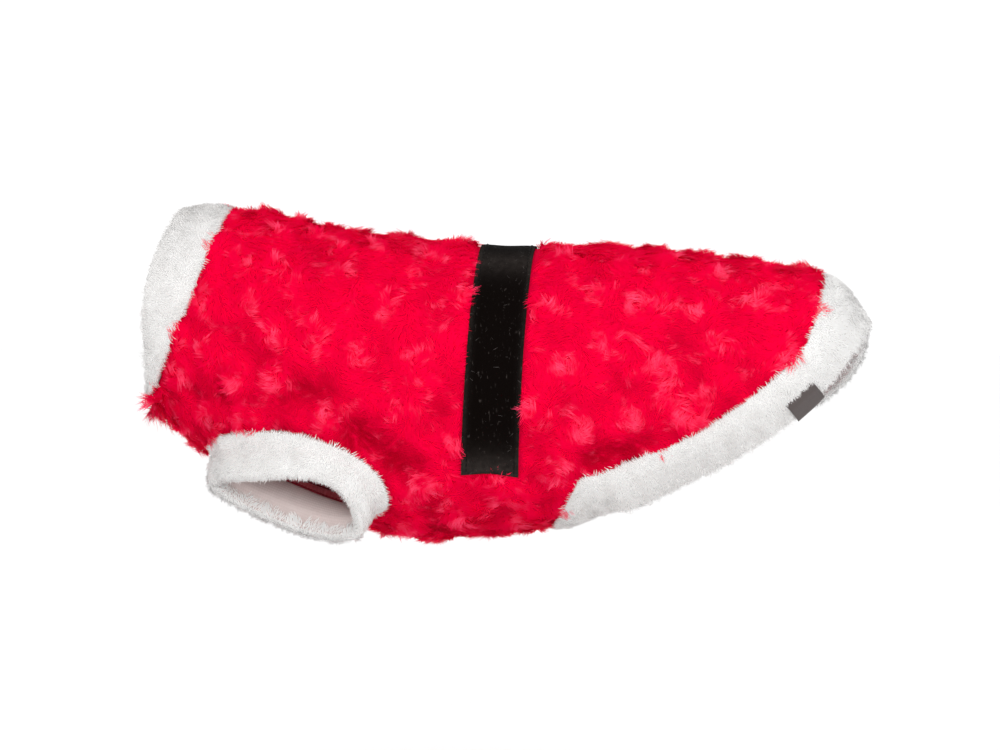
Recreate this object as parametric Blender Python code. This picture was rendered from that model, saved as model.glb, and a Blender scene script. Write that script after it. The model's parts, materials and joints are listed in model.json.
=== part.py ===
"""A small dog's santa coat of red rosette plush, filled out as it is when worn.

The dog would face -X and the coat hangs from its back, whose height is +Z. Each panel is a wall
from the cloth's inner face to the tips of its pile. The origin is on the inner face of the back,
on the spine under the belt, where the wearer carries the coat.
"""

import math
from collections import namedtuple

import bmesh
import bpy
from mathutils import Vector

MM = 0.001

# Driving sizes
SEAM_GAP = 0.3 * MM
EDGE_GAP = 0.8 * SEAM_GAP
PLUSH_WALL = 6.6 * MM
PRESSED_WALL = 3.0 * MM
ROSETTE_SPACING = 30 * MM
ROSETTE_RADIUS = 10 * MM
ROSETTE_RISE = 1.8 * MM
ROSETTE_WANDER = 0.22
BELT_WIDTH = 29 * MM
BELT_THICKNESS = 1.8 * MM
BELT_SLOPE_RUN = 2.6 * MM
BELT_REACH = 0.97
BELT_ROW_STEP = 37 * MM
CUFF_WIDTH = 24 * MM
COLLAR_PUFF = 1.6 * MM
CUFF_PUFF = 1.4 * MM
HEM_PUFF = 1.6 * MM

# Every folded band: its lengthwise rails as shares of its width, and how fast it turns to its way
BAND_RAILS = (0.0, 0.12, 0.34, 0.62, 0.82, 1.0)
BAND_TURN_RATE = 2.6
BAND_TURN_STEPS = 4
BAND_RELAX_ROUNDS = 3
LIP_DEGREES = (35, 70, 110, 145)
LABEL_THICKNESS = 0.9 * MM
LABEL_CLEARANCE = 0.4 * MM

# Mesh steps
PANEL_COLUMNS = 32
BELLY_COLUMNS = 8
LEG_HOLE_STEPS = 12

# The outer form, in millimetres: each section runs from a point on the spine to one on the keel
Section = namedtuple("Section", "spine_x spine_z keel_x keel_z half_width")
SECTIONS = [
    Section(-150, 27, -199, -85, 47),  # neck seam
    Section(-131, 25.5, -179, -103, 53),  # shoulder
    Section(-110, 20, -153, -119.5, 59),  # front of the leg holes
    Section(-90, 15.5, -117, -136, 63),  # middle of the leg holes
    Section(-66, 13, -79, -152, 64),  # back of the leg holes
    Section(-37, 10, -45, -159, 63),  # ribs
    Section(3, 6.6, -5, -156, 61),  # belt
    Section(40, 7.2, 31, -151.5, 58),  # belly hem
    Section(75, 5.5, 69, -149, 55),  # flank
    Section(108, 2.5, 106, -143, 52),  # loin
    Section(139, -1.5, 143, -131, 48),  # croup
    Section(170, -7, 179, -115, 42),  # rump
    Section(194, -20, 201, -101, 34),  # tail
]
WIDEST_SHARE = 0.50

# Places along the coat, as section numbers
NECK = 0.0
BELT = 6.0
BELLY_HEM = 7.3
BELLY_STRETCH_FROM = 6.5
BELLY_BOW = 0.4
BELLY_ROUNDING = 1.8
STRETCH_FROM = 8.0
HEM_CORNER = 10.6
TAIL_SEAM = 11.2
TAIL_ROUNDING = 2.2
FAR_REACH = 0.5
NECK_BOW = 0.26
NECK_STRETCH_TO = 1.2

# The leg hole on the body, as section numbers and degrees round from the spine
LEG_MIDDLE = 3.075
LEG_HALF_LENGTH = 1.475
LEG_FRONT_LEVEL = 155.0
LEG_BACK_LEVEL = 136.0
LEG_RISE = 28.0
LEG_DROP = 18.0

# Where the back panel's side edge lies: the seam to the belly panel, then the hem seam
EdgePoint = namedtuple("EdgePoint", "place degrees")
SIDE_EDGE = [
    EdgePoint(0.0, 142),
    EdgePoint(LEG_MIDDLE - LEG_HALF_LENGTH, LEG_FRONT_LEVEL),
    EdgePoint(LEG_MIDDLE + LEG_HALF_LENGTH, LEG_BACK_LEVEL),
    EdgePoint(5.2, 129),
    EdgePoint(BELT, 123.5),
    EdgePoint(BELLY_HEM, 128),
    EdgePoint(8.0, 120),
    EdgePoint(9.0, 109),
    EdgePoint(10.0, 93),
    EdgePoint(HEM_CORNER, 79),
]

# The far side hangs a little lower by the tail: the degrees added to its edge
FAR_DROP = [
    EdgePoint(BELLY_HEM, 0),
    EdgePoint(8.0, 0),
    EdgePoint(9.0, 0),
    EdgePoint(10.0, 2),
    EdgePoint(HEM_CORNER, 10),
]

# How far the neck seam wanders back from its even line, in millimetres, round from the spine
NeckPoint = namedtuple("NeckPoint", "degrees setback")
NECK_WAVE = [
    NeckPoint(0, 0),
    NeckPoint(60, 0),
    NeckPoint(80, 2.2),
    NeckPoint(98, 0.2),
    NeckPoint(119, 1.6),
    NeckPoint(145, 4.0),
    NeckPoint(180, 2.0),
]

# Soft creases in the cloth: from one place to another, with their depth and half width
Crease = namedtuple("Crease", "from_place from_degrees to_place to_degrees depth half_width")
NEAR_CREASES = [
    Crease(1.7, 88, 5.3, 125, 4.0, 9),
    Crease(6.9, 126, 8.5, 113, 2.6, 8),
    Crease(0.5, 118, 1.6, 132, 2.2, 8),
    Crease(2.1, 20, 3.6, 46, 1.8, 11),
    Crease(8.2, 62, 9.4, 84, 1.4, 10),
]
FAR_CREASES = [
    Crease(1.9, 92, 5.0, 121, 3.6, 10),
    Crease(7.0, 122, 8.2, 112, 2.3, 9),
    Crease(0.6, 112, 1.5, 130, 2.4, 8),
    Crease(3.0, 26, 4.3, 52, 1.6, 12),
    Crease(8.6, 56, 9.9, 78, 1.6, 9),
]
CREASE_FADE_DEGREES = 20
SECTION_STEP = 33 * MM
GIRTH_RADIUS = 68 * MM

# The collar's width and the rise of its band above level, round from the top of the neck
CollarPoint = namedtuple("CollarPoint", "degrees width rise")
COLLAR = [
    CollarPoint(0, 30, -2),
    CollarPoint(45, 29, 6),
    CollarPoint(80, 27.5, 18),
    CollarPoint(98, 22, 26),
    CollarPoint(119, 18.5, 43),
    CollarPoint(145, 16.5, 58),
    CollarPoint(180, 14, 72),
]

# The hem band's width and its curl inwards, by degrees round from the spine
HemPoint = namedtuple("HemPoint", "degrees width curl")
HEM = [
    HemPoint(0, 37.5, 0.5),
    HemPoint(40, 35.5, 0.5),
    HemPoint(79, 30, 0.45),
    HemPoint(93, 33, 0.4),
    HemPoint(109, 31, 0.35),
    HemPoint(120, 30, 0.33),
    HemPoint(132, 34, 0.28),
    HemPoint(152, 23, 0.45),
    HemPoint(180, 18, 0.6),
]

# The label's place: between these outlines of the hem band, and these points of an outline
LABEL_START = 62.1
LABEL_END = 63.6
LABEL_STEPS = 5
LABEL_FIRST_RAIL = 3
LABEL_LAST_RAIL = 8

# The way a leg cuff hangs: forward, down, and outward more on its outer side than on its inner side
LEG_FORWARD = 0.30
LEG_DOWN = 0.88
LEG_OUTWARD_MEAN = 0.26
LEG_OUTWARD_CHANGE = 0.2

RED = ("red_plush", (0.78, 0.005, 0.035, 1.0), 0.85)
WHITE = ("white_plush", (0.86, 0.85, 0.83, 1.0), 0.9)
BLACK = ("black_velvet", (0.012, 0.011, 0.010, 1.0), 0.7)
GREY = ("label_ribbon", (0.12, 0.10, 0.09, 1.0), 0.6)


def blend_rows(rows, place):
    """The smooth curve through the rows of a table, read at a section number that may have a fraction."""
    last = len(rows) - 1
    index = min(int(max(place, 0.0)), last - 1)
    step = place - index
    before = rows[max(index - 1, 0)]
    start, end = rows[index], rows[index + 1]
    after = rows[min(index + 2, last)]
    mixed = []
    for a, b, c, d in zip(before, start, end, after):
        slope_in, slope_out = (c - a) / 2, (d - b) / 2
        square, cube = step * step, step * step * step
        mixed.append(
            (2 * cube - 3 * square + 1) * b
            + (cube - 2 * square + step) * slope_in
            + (3 * square - 2 * cube) * c
            + (cube - square) * slope_out
        )
    return type(start)(*mixed)


def ease(share):
    """0 to 1 with a soft start and end."""
    share = min(max(share, 0.0), 1.0)
    return share * share * (3 - 2 * share)


def body_point(place, angle):
    """A point of the bare outer form. Angle 0 is the spine, and positive angles go down the near side, -Y."""
    section = blend_rows(SECTIONS, place)
    spine = Vector((section.spine_x, 0, section.spine_z)) * MM
    keel = Vector((section.keel_x, 0, section.keel_z)) * MM
    middle = spine.lerp(keel, WIDEST_SHARE)
    reach = spine - middle if math.cos(angle) > 0 else middle - keel
    outward = Vector((0, -section.half_width * MM * math.sin(angle), 0))
    return middle + reach * math.cos(angle) + outward


def surface_normal(surface, place, angle):
    """The outward unit normal of a surface given as a function of place and angle."""
    small_place, small_angle = 0.02, 0.01
    along = surface(place + small_place, angle) - surface(place - small_place, angle)
    round_it = surface(place, angle + small_angle) - surface(place, angle - small_angle)
    return round_it.cross(along).normalized()


def crease_depth(crease, place, degrees):
    """How deep one crease is at a place on the cloth, in metres."""
    start = Vector((crease.from_place * SECTION_STEP, math.radians(crease.from_degrees) * GIRTH_RADIUS))
    end = Vector((crease.to_place * SECTION_STEP, math.radians(crease.to_degrees) * GIRTH_RADIUS))
    here = Vector((place * SECTION_STEP, math.radians(degrees) * GIRTH_RADIUS))
    run = end - start
    share = (here - start).dot(run) / run.length_squared
    nearest = start + run * min(max(share, 0.0), 1.0)
    away = (here - nearest).length / (crease.half_width * MM)
    fade = ease(1.25 - abs(share - 0.5) * 2)
    return crease.depth * MM * math.exp(-away * away) * fade


def cloth_point(place, angle):
    """A point of the outer form with the cloth's creases."""
    degrees = math.degrees(abs(angle))
    creases = NEAR_CREASES if angle > 0 else FAR_CREASES
    near_keel = ease((180 - degrees) / CREASE_FADE_DEGREES)
    near_spine = ease(degrees / CREASE_FADE_DEGREES)
    depth = sum(crease_depth(crease, place, degrees) for crease in creases)
    depth *= near_keel * near_spine
    return body_point(place, angle) - surface_normal(body_point, place, angle) * depth


def cloth_normal(place, angle):
    return surface_normal(cloth_point, place, angle)


def rosette_rise(place, angle):
    """The pile's height above or below its mean: a low tuft at the heart of each rosette."""
    across = angle * GIRTH_RADIUS / ROSETTE_SPACING
    along = place * SECTION_STEP / ROSETTE_SPACING
    highest = 0.0
    for row in range(math.floor(across) - 1, math.floor(across) + 3):
        for column in range(math.floor(along) - 1, math.floor(along) + 3):
            wander = ROSETTE_WANDER * math.sin(12.9 * row + 7.3 * column)
            drift = ROSETTE_WANDER * math.sin(4.7 * row - 9.1 * column)
            heart_along = column + 0.5 * (row % 2) + wander
            heart_across = row + drift
            away = math.hypot(along - heart_along, across - heart_across) * ROSETTE_SPACING
            highest = max(highest, math.exp(-((away / ROSETTE_RADIUS) ** 2)))
    return ROSETTE_RISE * (highest - 0.5)


def read_curve(rows, at):
    """A smooth curve through rows whose first column is what at counts, giving the second column."""
    index = 0
    while index < len(rows) - 2 and at > rows[index + 1][0]:
        index += 1
    start, end = rows[index], rows[index + 1]
    before, after = rows[max(index - 1, 0)], rows[min(index + 2, len(rows) - 1)]
    run = end[0] - start[0]
    slope_in = (end[1] - before[1]) / (end[0] - before[0]) * run
    slope_out = (after[1] - start[1]) / (after[0] - start[0]) * run
    step = min(max((at - start[0]) / run, 0.0), 1.0)
    square, cube = step * step, step * step * step
    return (
        (2 * cube - 3 * square + 1) * start[1]
        + (cube - 2 * square + step) * slope_in
        + (3 * square - 2 * cube) * end[1]
        + (cube - square) * slope_out
    )


def leg_hole_share(place):
    """The leg hole's height at a place, as a share of its height in the middle."""
    away = (place - LEG_MIDDLE) / LEG_HALF_LENGTH
    return math.sqrt(max(0.0, 1 - away * away))


def leg_level(place):
    """The line between the two ends of the leg hole, in degrees."""
    share = 0.5 + (place - LEG_MIDDLE) / LEG_HALF_LENGTH / 2
    return LEG_FRONT_LEVEL + (LEG_BACK_LEVEL - LEG_FRONT_LEVEL) * share


def back_edge(place, side):
    """The back panel's side edge in radians, round the top of the leg hole. side is 1 near, -1 far."""
    gap = EDGE_GAP / GIRTH_RADIUS
    share = leg_hole_share(place)
    if share > 0:
        return math.radians(leg_level(place) - LEG_RISE * share) - gap
    degrees = read_curve(SIDE_EDGE, place)
    if side < 0 and place > BELLY_HEM:
        degrees += read_curve(FAR_DROP, place)
    return math.radians(degrees) - gap


def belly_edge(place):
    """The belly panel's side edge in radians, round the bottom of the leg hole."""
    gap = EDGE_GAP / GIRTH_RADIUS
    share = leg_hole_share(place)
    if share > 0:
        return math.radians(leg_level(place) + LEG_DROP * share) + gap
    return math.radians(read_curve(SIDE_EDGE, place)) + gap


def leg_hole_places():
    """The section numbers of the panels' points round the leg hole, closer together at its ends."""
    half_turn = [math.pi * i / LEG_HOLE_STEPS for i in range(LEG_HOLE_STEPS + 1)]
    return [LEG_MIDDLE - LEG_HALF_LENGTH * math.cos(turn) for turn in half_turn]


def even_places(start, end, steps):
    return [start + (end - start) * i / steps for i in range(steps + 1)]


def belt_places():
    """The rows that carry the belt: a pressed floor under it and a soft bank of pile at each side."""
    floor = (BELT_WIDTH / 2 + 2 * SEAM_GAP) / BELT_ROW_STEP
    bank = floor + BELT_SLOPE_RUN / BELT_ROW_STEP
    return [BELT - bank, BELT - floor, BELT, BELT + floor, BELT + bank]


def panel_places():
    """The rows of both panels, from the neck seam to the hem's corner."""
    leg, belt = leg_hole_places(), belt_places()
    return (
        even_places(NECK, leg[0], 5)[:-1]
        + leg
        + even_places(leg[-1], belt[0], 4)[1:-1]
        + belt
        + even_places(belt[-1], BELLY_HEM, 2)[1:]
        + even_places(BELLY_HEM, HEM_CORNER, 12)[1:]
    )


def neck_place(place, angle):
    """A section number near the neck moved back where the neck seam is hollow."""
    bow = NECK_BOW * math.sin(angle) ** 2
    wave = read_curve(NECK_WAVE, math.degrees(abs(wrapped(angle)))) * MM / SECTION_STEP
    return place + (bow + wave) * ease(1 - place / NECK_STRETCH_TO)


def back_place(place, across):
    """The section number of a point of the back panel, whose rows bow backwards towards the round tail."""
    rounding = (TAIL_SEAM - HEM_CORNER) * (1 - abs(across) ** TAIL_ROUNDING)
    reach = FAR_REACH * max(-across, 0.0) ** 2
    return place + (rounding + reach) * ease((place - STRETCH_FROM) / (HEM_CORNER - STRETCH_FROM))


def belly_place(place, across):
    """The section number of a point of the belly panel, whose rows bow forwards towards the hem."""
    bow = BELLY_BOW * (1 - abs(across) ** BELLY_ROUNDING)
    return place - bow * ease((place - BELLY_STRETCH_FROM) / (BELLY_HEM - BELLY_STRETCH_FROM))


def pile_height(place):
    """How much of the pile stands up: 1 in the open and 0 under the belt."""
    belt = belt_places()
    away = abs(place - BELT)
    return ease((away - (belt[3] - BELT)) / (belt[4] - belt[3]))


def wall_points(place, angle, under_belt):
    """The outer and inner point of the plush at one place."""
    root, normal = cloth_point(place, angle), cloth_normal(place, angle)
    standing = pile_height(place) if under_belt else 1.0
    outer = root + normal * (rosette_rise(place, angle) * standing)
    outer -= normal * (PLUSH_WALL - PRESSED_WALL) * (1 - standing)
    return outer, root - normal * PLUSH_WALL


def back_panel_grid():
    """Rows of (place, angle) over the back panel, from its far side to its near side."""
    columns = [-1 + 2 * i / PANEL_COLUMNS for i in range(PANEL_COLUMNS + 1)]
    rows = []
    for place in panel_places():
        angles = [across * back_edge(place, across) for across in columns]
        rows.append(
            [(neck_place(back_place(place, c), a), a) for c, a in zip(columns, angles)]
        )
    return rows


def belly_panel_grid():
    """Rows of (place, angle) over the belly panel, from its near seam under the keel to its far seam."""
    columns = [-1 + 2 * i / BELLY_COLUMNS for i in range(BELLY_COLUMNS + 1)]
    rows = []
    for place in panel_places():
        if place > BELLY_HEM + 1e-6:
            break
        half_width = math.pi - belly_edge(place)
        angles = [math.pi + across * half_width for across in columns]
        rows.append(
            [(neck_place(belly_place(place, c), a), wrapped(a)) for c, a in zip(columns, angles)]
        )
    return rows


def wrapped(angle):
    """The same direction round the body, between -pi and pi."""
    return (angle + math.pi) % (2 * math.pi) - math.pi


def finish_object(name, vertices, faces, material_facts):
    """Makes a closed, smooth-shaded object from points and faces."""
    mesh = bpy.data.meshes.new(name)
    mesh.from_pydata([tuple(v) for v in vertices], [], faces)
    shell = bmesh.new()
    shell.from_mesh(mesh)
    bmesh.ops.recalc_face_normals(shell, faces=shell.faces)
    if shell.calc_volume(signed=True) < 0:
        bmesh.ops.reverse_faces(shell, faces=shell.faces)
    shell.to_mesh(mesh)
    shell.free()
    mesh.shade_smooth()
    mesh.materials.append(material_of(*material_facts))
    obj = bpy.data.objects.new(name, mesh)
    bpy.context.scene.collection.objects.link(obj)
    return obj


def material_of(name, colour, roughness):
    """One plain material, made once and shared."""
    material = bpy.data.materials.get(name)
    if material is None:
        material = bpy.data.materials.new(name)
        material.use_nodes = True
        shader = material.node_tree.nodes["Principled BSDF"]
        shader.inputs["Base Color"].default_value = colour
        shader.inputs["Roughness"].default_value = roughness
        shader.inputs["Metallic"].default_value = 0.0
    return material


def make_wall(name, outer, inner, material_facts):
    """A wall between two grids of points, closed round its four edges."""
    rows, columns = len(outer), len(outer[0])
    vertices = [p for row in outer for p in row] + [p for row in inner for p in row]
    under = rows * columns

    def at(row, column):
        return row * columns + column

    faces = []
    for row in range(rows - 1):
        for column in range(columns - 1):
            quad = [at(row, column), at(row, column + 1), at(row + 1, column + 1), at(row + 1, column)]
            faces.append(quad)
            faces.append([under + corner for corner in reversed(quad)])
    border = (
        [at(0, column) for column in range(columns)]
        + [at(row, columns - 1) for row in range(1, rows)]
        + [at(rows - 1, column) for column in range(columns - 2, -1, -1)]
        + [at(row, 0) for row in range(rows - 2, 0, -1)]
    )
    for start, end in zip(border, border[1:] + border[:1]):
        faces.append([end, start, under + start, under + end])
    return finish_object(name, vertices, faces, material_facts)


def make_ring(name, outlines, material_facts):
    """A closed band lofted through outlines that each have the same number of points."""
    count = len(outlines[0])
    vertices = [point for outline in outlines for point in outline]
    faces = []
    for ring in range(len(outlines)):
        following = (ring + 1) % len(outlines)
        for i in range(count):
            j = (i + 1) % count
            faces.append([ring * count + i, ring * count + j, following * count + j, following * count + i])
    return finish_object(name, vertices, faces, material_facts)


def make_panel(name, grid, under_belt):
    """A plush panel over a grid of (place, angle)."""
    pairs = [[wall_points(place, angle, under_belt) for place, angle in row] for row in grid]
    outer = [[pair[0] for pair in row] for row in pairs]
    inner = [[pair[1] for pair in row] for row in pairs]
    return make_wall(name, outer, inner, RED)


def trim_outline(root, normal, leaving, aim, width, puff):
    """The outline of a folded plush band: from its seam, over its soft outer face, round its lip and back.

    It leaves the seam in line with the panel and turns towards aim.
    """
    straight = width - PLUSH_WALL / 2
    point, reached, way, across = root.copy(), 0.0, leaving, normal
    outer, inner = [], []
    for share in BAND_RAILS:
        for step in range(BAND_TURN_STEPS):
            part = reached + (share - reached) * (step + 0.5) / BAND_TURN_STEPS
            way = leaving.slerp(aim, ease(part * BAND_TURN_RATE))
            point += way * straight * (share - reached) / BAND_TURN_STEPS
        reached = share
        across = leaving.rotation_difference(way) @ normal
        outer.append(point + across * puff * math.sin(math.pi * share))
        inner.append(point - across * (PLUSH_WALL - puff * 0.4 * share))
    middle = (outer[-1] + inner[-1]) / 2
    radius = (outer[-1] - inner[-1]).length / 2
    turns = [math.radians(degrees) for degrees in LIP_DEGREES]
    lip = [middle + (across * math.cos(turn) + way * math.sin(turn)) * radius for turn in turns]
    return outer + lip + inner[::-1]


def relaxed(outlines):
    """The outlines with the band's free part eased round the seam's corners, as thick pile would be."""
    lip = [1.0] * len(LIP_DEGREES)
    weights = list(BAND_RAILS) + lip + list(BAND_RAILS)[::-1]
    count = len(outlines)
    for _ in range(BAND_RELAX_ROUNDS):
        eased = []
        for index, outline in enumerate(outlines):
            before, after = outlines[index - 1], outlines[(index + 1) % count]
            eased.append(
                [p.lerp((a + b) / 2, 0.5 * w) for p, a, b, w in zip(outline, before, after, weights)]
            )
        outlines = eased
    return outlines


def band_outlines(seam, shape_at, puff):
    """The outlines of a folded band sewn round a seam.

    The seam's (place, angle) points run round with the panel on their left, as seen from outside.
    shape_at gives the band's width and its way at the lip, from the place, the angle, the normal
    and the way that the band leaves the seam.
    """
    points = [cloth_point(place, angle) for place, angle in seam]
    outlines = []
    for index, (place, angle) in enumerate(seam):
        run = points[(index + 1) % len(points)] - points[index - 1]
        normal = cloth_normal(place, angle)
        leaving = run.cross(normal).normalized()
        width, aim = shape_at(place, angle, normal, leaving)
        root = points[index] + leaving * SEAM_GAP
        outlines.append(trim_outline(root, normal, leaving, aim, width, puff))
    return relaxed(outlines)


def collar_shape(place, angle, normal, leaving):
    degrees = math.degrees(abs(angle))
    width = read_curve([(row.degrees, row.width) for row in COLLAR], degrees) * MM
    rise = math.radians(read_curve([(row.degrees, row.rise) for row in COLLAR], degrees))
    return width, Vector((-math.cos(rise), 0, math.sin(rise)))


def cuff_shape(place, angle, normal, leaving):
    side = 1 if angle > 0 else -1
    above = leg_level(place) - abs(math.degrees(angle))
    above /= LEG_RISE if above > 0 else LEG_DROP
    outward = LEG_OUTWARD_MEAN + LEG_OUTWARD_CHANGE * above
    return CUFF_WIDTH, Vector((-LEG_FORWARD, -side * outward, -LEG_DOWN)).normalized()


def hem_shape(place, angle, normal, leaving):
    degrees = abs(math.degrees(angle))
    width = read_curve([(row.degrees, row.width) for row in HEM], degrees) * MM
    curl = read_curve([(row.degrees, row.curl) for row in HEM], degrees)
    return width, (leaving - normal * curl).normalized()


def neck_seam():
    """The neck seam's (place, angle) points, once round from the far belly seam over the back."""
    return back_panel_grid()[0][:-1] + belly_panel_grid()[0][:-1]


def leg_seam(side):
    """A leg hole's (place, angle) points, once round. side is 1 for the near leg, -1 for the far leg."""
    places = leg_hole_places()
    over = [(place, side * back_edge(place, side)) for place in places]
    under = [(place, side * belly_edge(place)) for place in reversed(places[1:-1])]
    return (over + under)[::side]


def hem_seam():
    """The hem seam's (place, angle) points, once round: tail, far flank, belly and near flank."""
    back, belly = back_panel_grid(), belly_panel_grid()
    flank = [index for index, place in enumerate(panel_places()) if place > BELLY_HEM + 1e-6]
    tail = list(reversed(back[-1]))
    far = [back[index][0] for index in reversed(flank[:-1])]
    near = [back[index][-1] for index in flank[:-1]]
    under = list(reversed(belly[-1]))
    return tail + far + under + near


def make_label(outlines):
    """The label: a short ribbon folded over the hem band's lip, from the band's points moved out."""
    shares = [LABEL_START + (LABEL_END - LABEL_START) * i / LABEL_STEPS for i in range(LABEL_STEPS + 1)]
    outer, inner = [], []
    for share in shares:
        before = int(share)
        start, end = outlines[before], outlines[(before + 1) % len(outlines)]
        line = [a.lerp(b, share - before) for a, b in zip(start, end)][LABEL_FIRST_RAIL:LABEL_LAST_RAIL]
        along = (end[LABEL_FIRST_RAIL] - start[LABEL_FIRST_RAIL]).normalized()
        low, high = [], []
        for index, point in enumerate(line):
            run = line[min(index + 1, len(line) - 1)] - line[max(index - 1, 0)]
            outward = run.cross(along).normalized()
            low.append(point + outward * LABEL_CLEARANCE)
            high.append(point + outward * (LABEL_CLEARANCE + LABEL_THICKNESS))
        inner.append(low)
        outer.append(high)
    return make_wall("label", outer, inner, GREY)


def make_belt():
    """The belt: a strip sewn over the back from one belly seam to the other, sunk in the pile."""
    rows = [BELT - BELT_WIDTH / 2 / BELT_ROW_STEP, BELT, BELT + BELT_WIDTH / 2 / BELT_ROW_STEP]
    floor = PLUSH_WALL - PRESSED_WALL - SEAM_GAP
    outer, inner = [], []
    for place in rows:
        edge = back_edge(place, 1) * BELT_REACH
        top, bottom = [], []
        for column in range(PANEL_COLUMNS + 1):
            angle = edge * (-1 + 2 * column / PANEL_COLUMNS)
            root, normal = cloth_point(place, angle), cloth_normal(place, angle)
            bottom.append(root - normal * floor)
            top.append(root - normal * (floor - BELT_THICKNESS))
        outer.append(top)
        inner.append(bottom)
    return make_wall("belt", outer, inner, BLACK)


def clear_scene():
    for obj in list(bpy.data.objects):
        bpy.data.objects.remove(obj)


def main():
    clear_scene()
    make_panel("back_panel", back_panel_grid(), True)
    make_panel("belly_panel", belly_panel_grid(), False)
    make_ring("collar", band_outlines(neck_seam(), collar_shape, COLLAR_PUFF), WHITE)
    make_ring("cuff_near", band_outlines(leg_seam(1), cuff_shape, CUFF_PUFF), WHITE)
    make_ring("cuff_far", band_outlines(leg_seam(-1), cuff_shape, CUFF_PUFF), WHITE)
    hem = band_outlines(hem_seam(), hem_shape, HEM_PUFF)
    make_ring("hem_band", hem, WHITE)
    make_label(hem)
    make_belt()


main()
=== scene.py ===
"""The looks of a small dog's santa coat: red rosette plush with white plush trim and a velvet belt.

The coat hangs filled out with no wearer. The dog would face -X, the near side is -Y and +Z is up.
Every soft piece is a thin shell on the coat's form, with its pile grown on it in small locks.
"""

from __future__ import annotations

import json
import logging
import math
from dataclasses import dataclass, field
from enum import Enum
from typing import Callable, NamedTuple, Sequence

import bpy
import numpy as np
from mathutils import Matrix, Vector

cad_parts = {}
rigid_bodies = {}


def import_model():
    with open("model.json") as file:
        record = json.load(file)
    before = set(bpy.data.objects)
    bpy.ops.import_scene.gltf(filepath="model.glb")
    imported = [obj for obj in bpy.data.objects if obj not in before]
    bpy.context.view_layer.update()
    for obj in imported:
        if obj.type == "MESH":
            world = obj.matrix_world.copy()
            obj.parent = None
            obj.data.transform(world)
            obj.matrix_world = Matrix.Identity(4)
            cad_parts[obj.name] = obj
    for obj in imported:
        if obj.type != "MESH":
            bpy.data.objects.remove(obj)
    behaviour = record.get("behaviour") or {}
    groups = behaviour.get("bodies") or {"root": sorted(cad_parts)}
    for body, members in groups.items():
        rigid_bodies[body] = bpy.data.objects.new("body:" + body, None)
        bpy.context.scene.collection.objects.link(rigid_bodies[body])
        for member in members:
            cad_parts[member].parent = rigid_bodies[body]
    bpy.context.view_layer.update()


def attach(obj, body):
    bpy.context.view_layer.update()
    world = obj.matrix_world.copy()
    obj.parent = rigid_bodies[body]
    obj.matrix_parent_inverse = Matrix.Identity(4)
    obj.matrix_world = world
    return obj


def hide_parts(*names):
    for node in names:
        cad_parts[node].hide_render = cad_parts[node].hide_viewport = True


log = logging.getLogger("santa_coat")

MM = 0.001
BELT_ROW_STEP = 37 * MM


class Side(Enum):
    """The two sides of the coat."""

    NEAR = 1
    FAR = -1


class Section(NamedTuple):
    """One section of the outer form in millimetres, from the spine to the keel."""

    spine_x: float
    spine_z: float
    keel_x: float
    keel_z: float
    half_width: float


class EdgePoint(NamedTuple):
    """Where a cut edge lies: degrees round from the spine at a place along the coat."""

    place: float
    degrees: float


class Crease(NamedTuple):
    """A soft crease from one place on the cloth to another, with its depth and half width in mm."""

    from_place: float
    from_degrees: float
    to_place: float
    to_degrees: float
    depth: float
    half_width: float


class NeckPoint(NamedTuple):
    """How far the neck seam wanders back from its even line in mm, by degrees round the neck."""

    degrees: float
    setback: float


class CollarPoint(NamedTuple):
    """The collar's width in mm and the rise of its band above level, by degrees round the neck."""

    degrees: float
    width: float
    rise: float


class HemPoint(NamedTuple):
    """The hem band's width in mm and its curl inwards, by degrees round from the spine."""

    degrees: float
    width: float
    curl: float


SECTIONS = (
    Section(-150, 27, -199, -85, 47),
    Section(-131, 25.5, -179, -103, 53),
    Section(-110, 20, -153, -119.5, 59),
    Section(-90, 15.5, -117, -136, 63),
    Section(-66, 13, -79, -152, 64),
    Section(-37, 10, -45, -159, 63),
    Section(3, 6.6, -5, -156, 61),
    Section(40, 7.2, 31, -151.5, 58),
    Section(75, 5.5, 69, -149, 55),
    Section(108, 2.5, 106, -143, 52),
    Section(139, -1.5, 143, -131, 48),
    Section(170, -7, 179, -115, 42),
    Section(194, -20, 201, -101, 34),
)
NEAR_CREASES = (
    Crease(1.7, 88, 5.3, 125, 4.0, 9),
    Crease(6.9, 126, 8.5, 113, 2.6, 8),
    Crease(0.5, 118, 1.6, 132, 2.2, 8),
    Crease(2.1, 20, 3.6, 46, 1.8, 11),
    Crease(8.2, 62, 9.4, 84, 1.4, 10),
)
FAR_CREASES = (
    Crease(1.9, 92, 5.0, 121, 3.6, 10),
    Crease(7.0, 122, 8.2, 112, 2.3, 9),
    Crease(0.6, 112, 1.5, 130, 2.4, 8),
    Crease(3.0, 26, 4.3, 52, 1.6, 12),
    Crease(8.6, 56, 9.9, 78, 1.6, 9),
)


def unit(vectors: np.ndarray) -> np.ndarray:
    """The vectors, each made one long."""
    return vectors / np.maximum(np.linalg.norm(vectors, axis=-1, keepdims=True), 1e-12)


def ease(share: np.ndarray | float) -> np.ndarray:
    """0 to 1 with a soft start and end."""
    share = np.clip(share, 0.0, 1.0)
    return share * share * (3 - 2 * share)


def hermite(start: np.ndarray, end: np.ndarray, slope_in: np.ndarray, slope_out: np.ndarray,
            step: np.ndarray) -> np.ndarray:
    """The cubic from start to end with the given slopes, at a step from 0 to 1."""
    square, cube = step * step, step * step * step
    return (
        (2 * cube - 3 * square + 1) * start
        + (cube - 2 * square + step) * slope_in
        + (3 * square - 2 * cube) * end
        + (cube - square) * slope_out
    )


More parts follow.
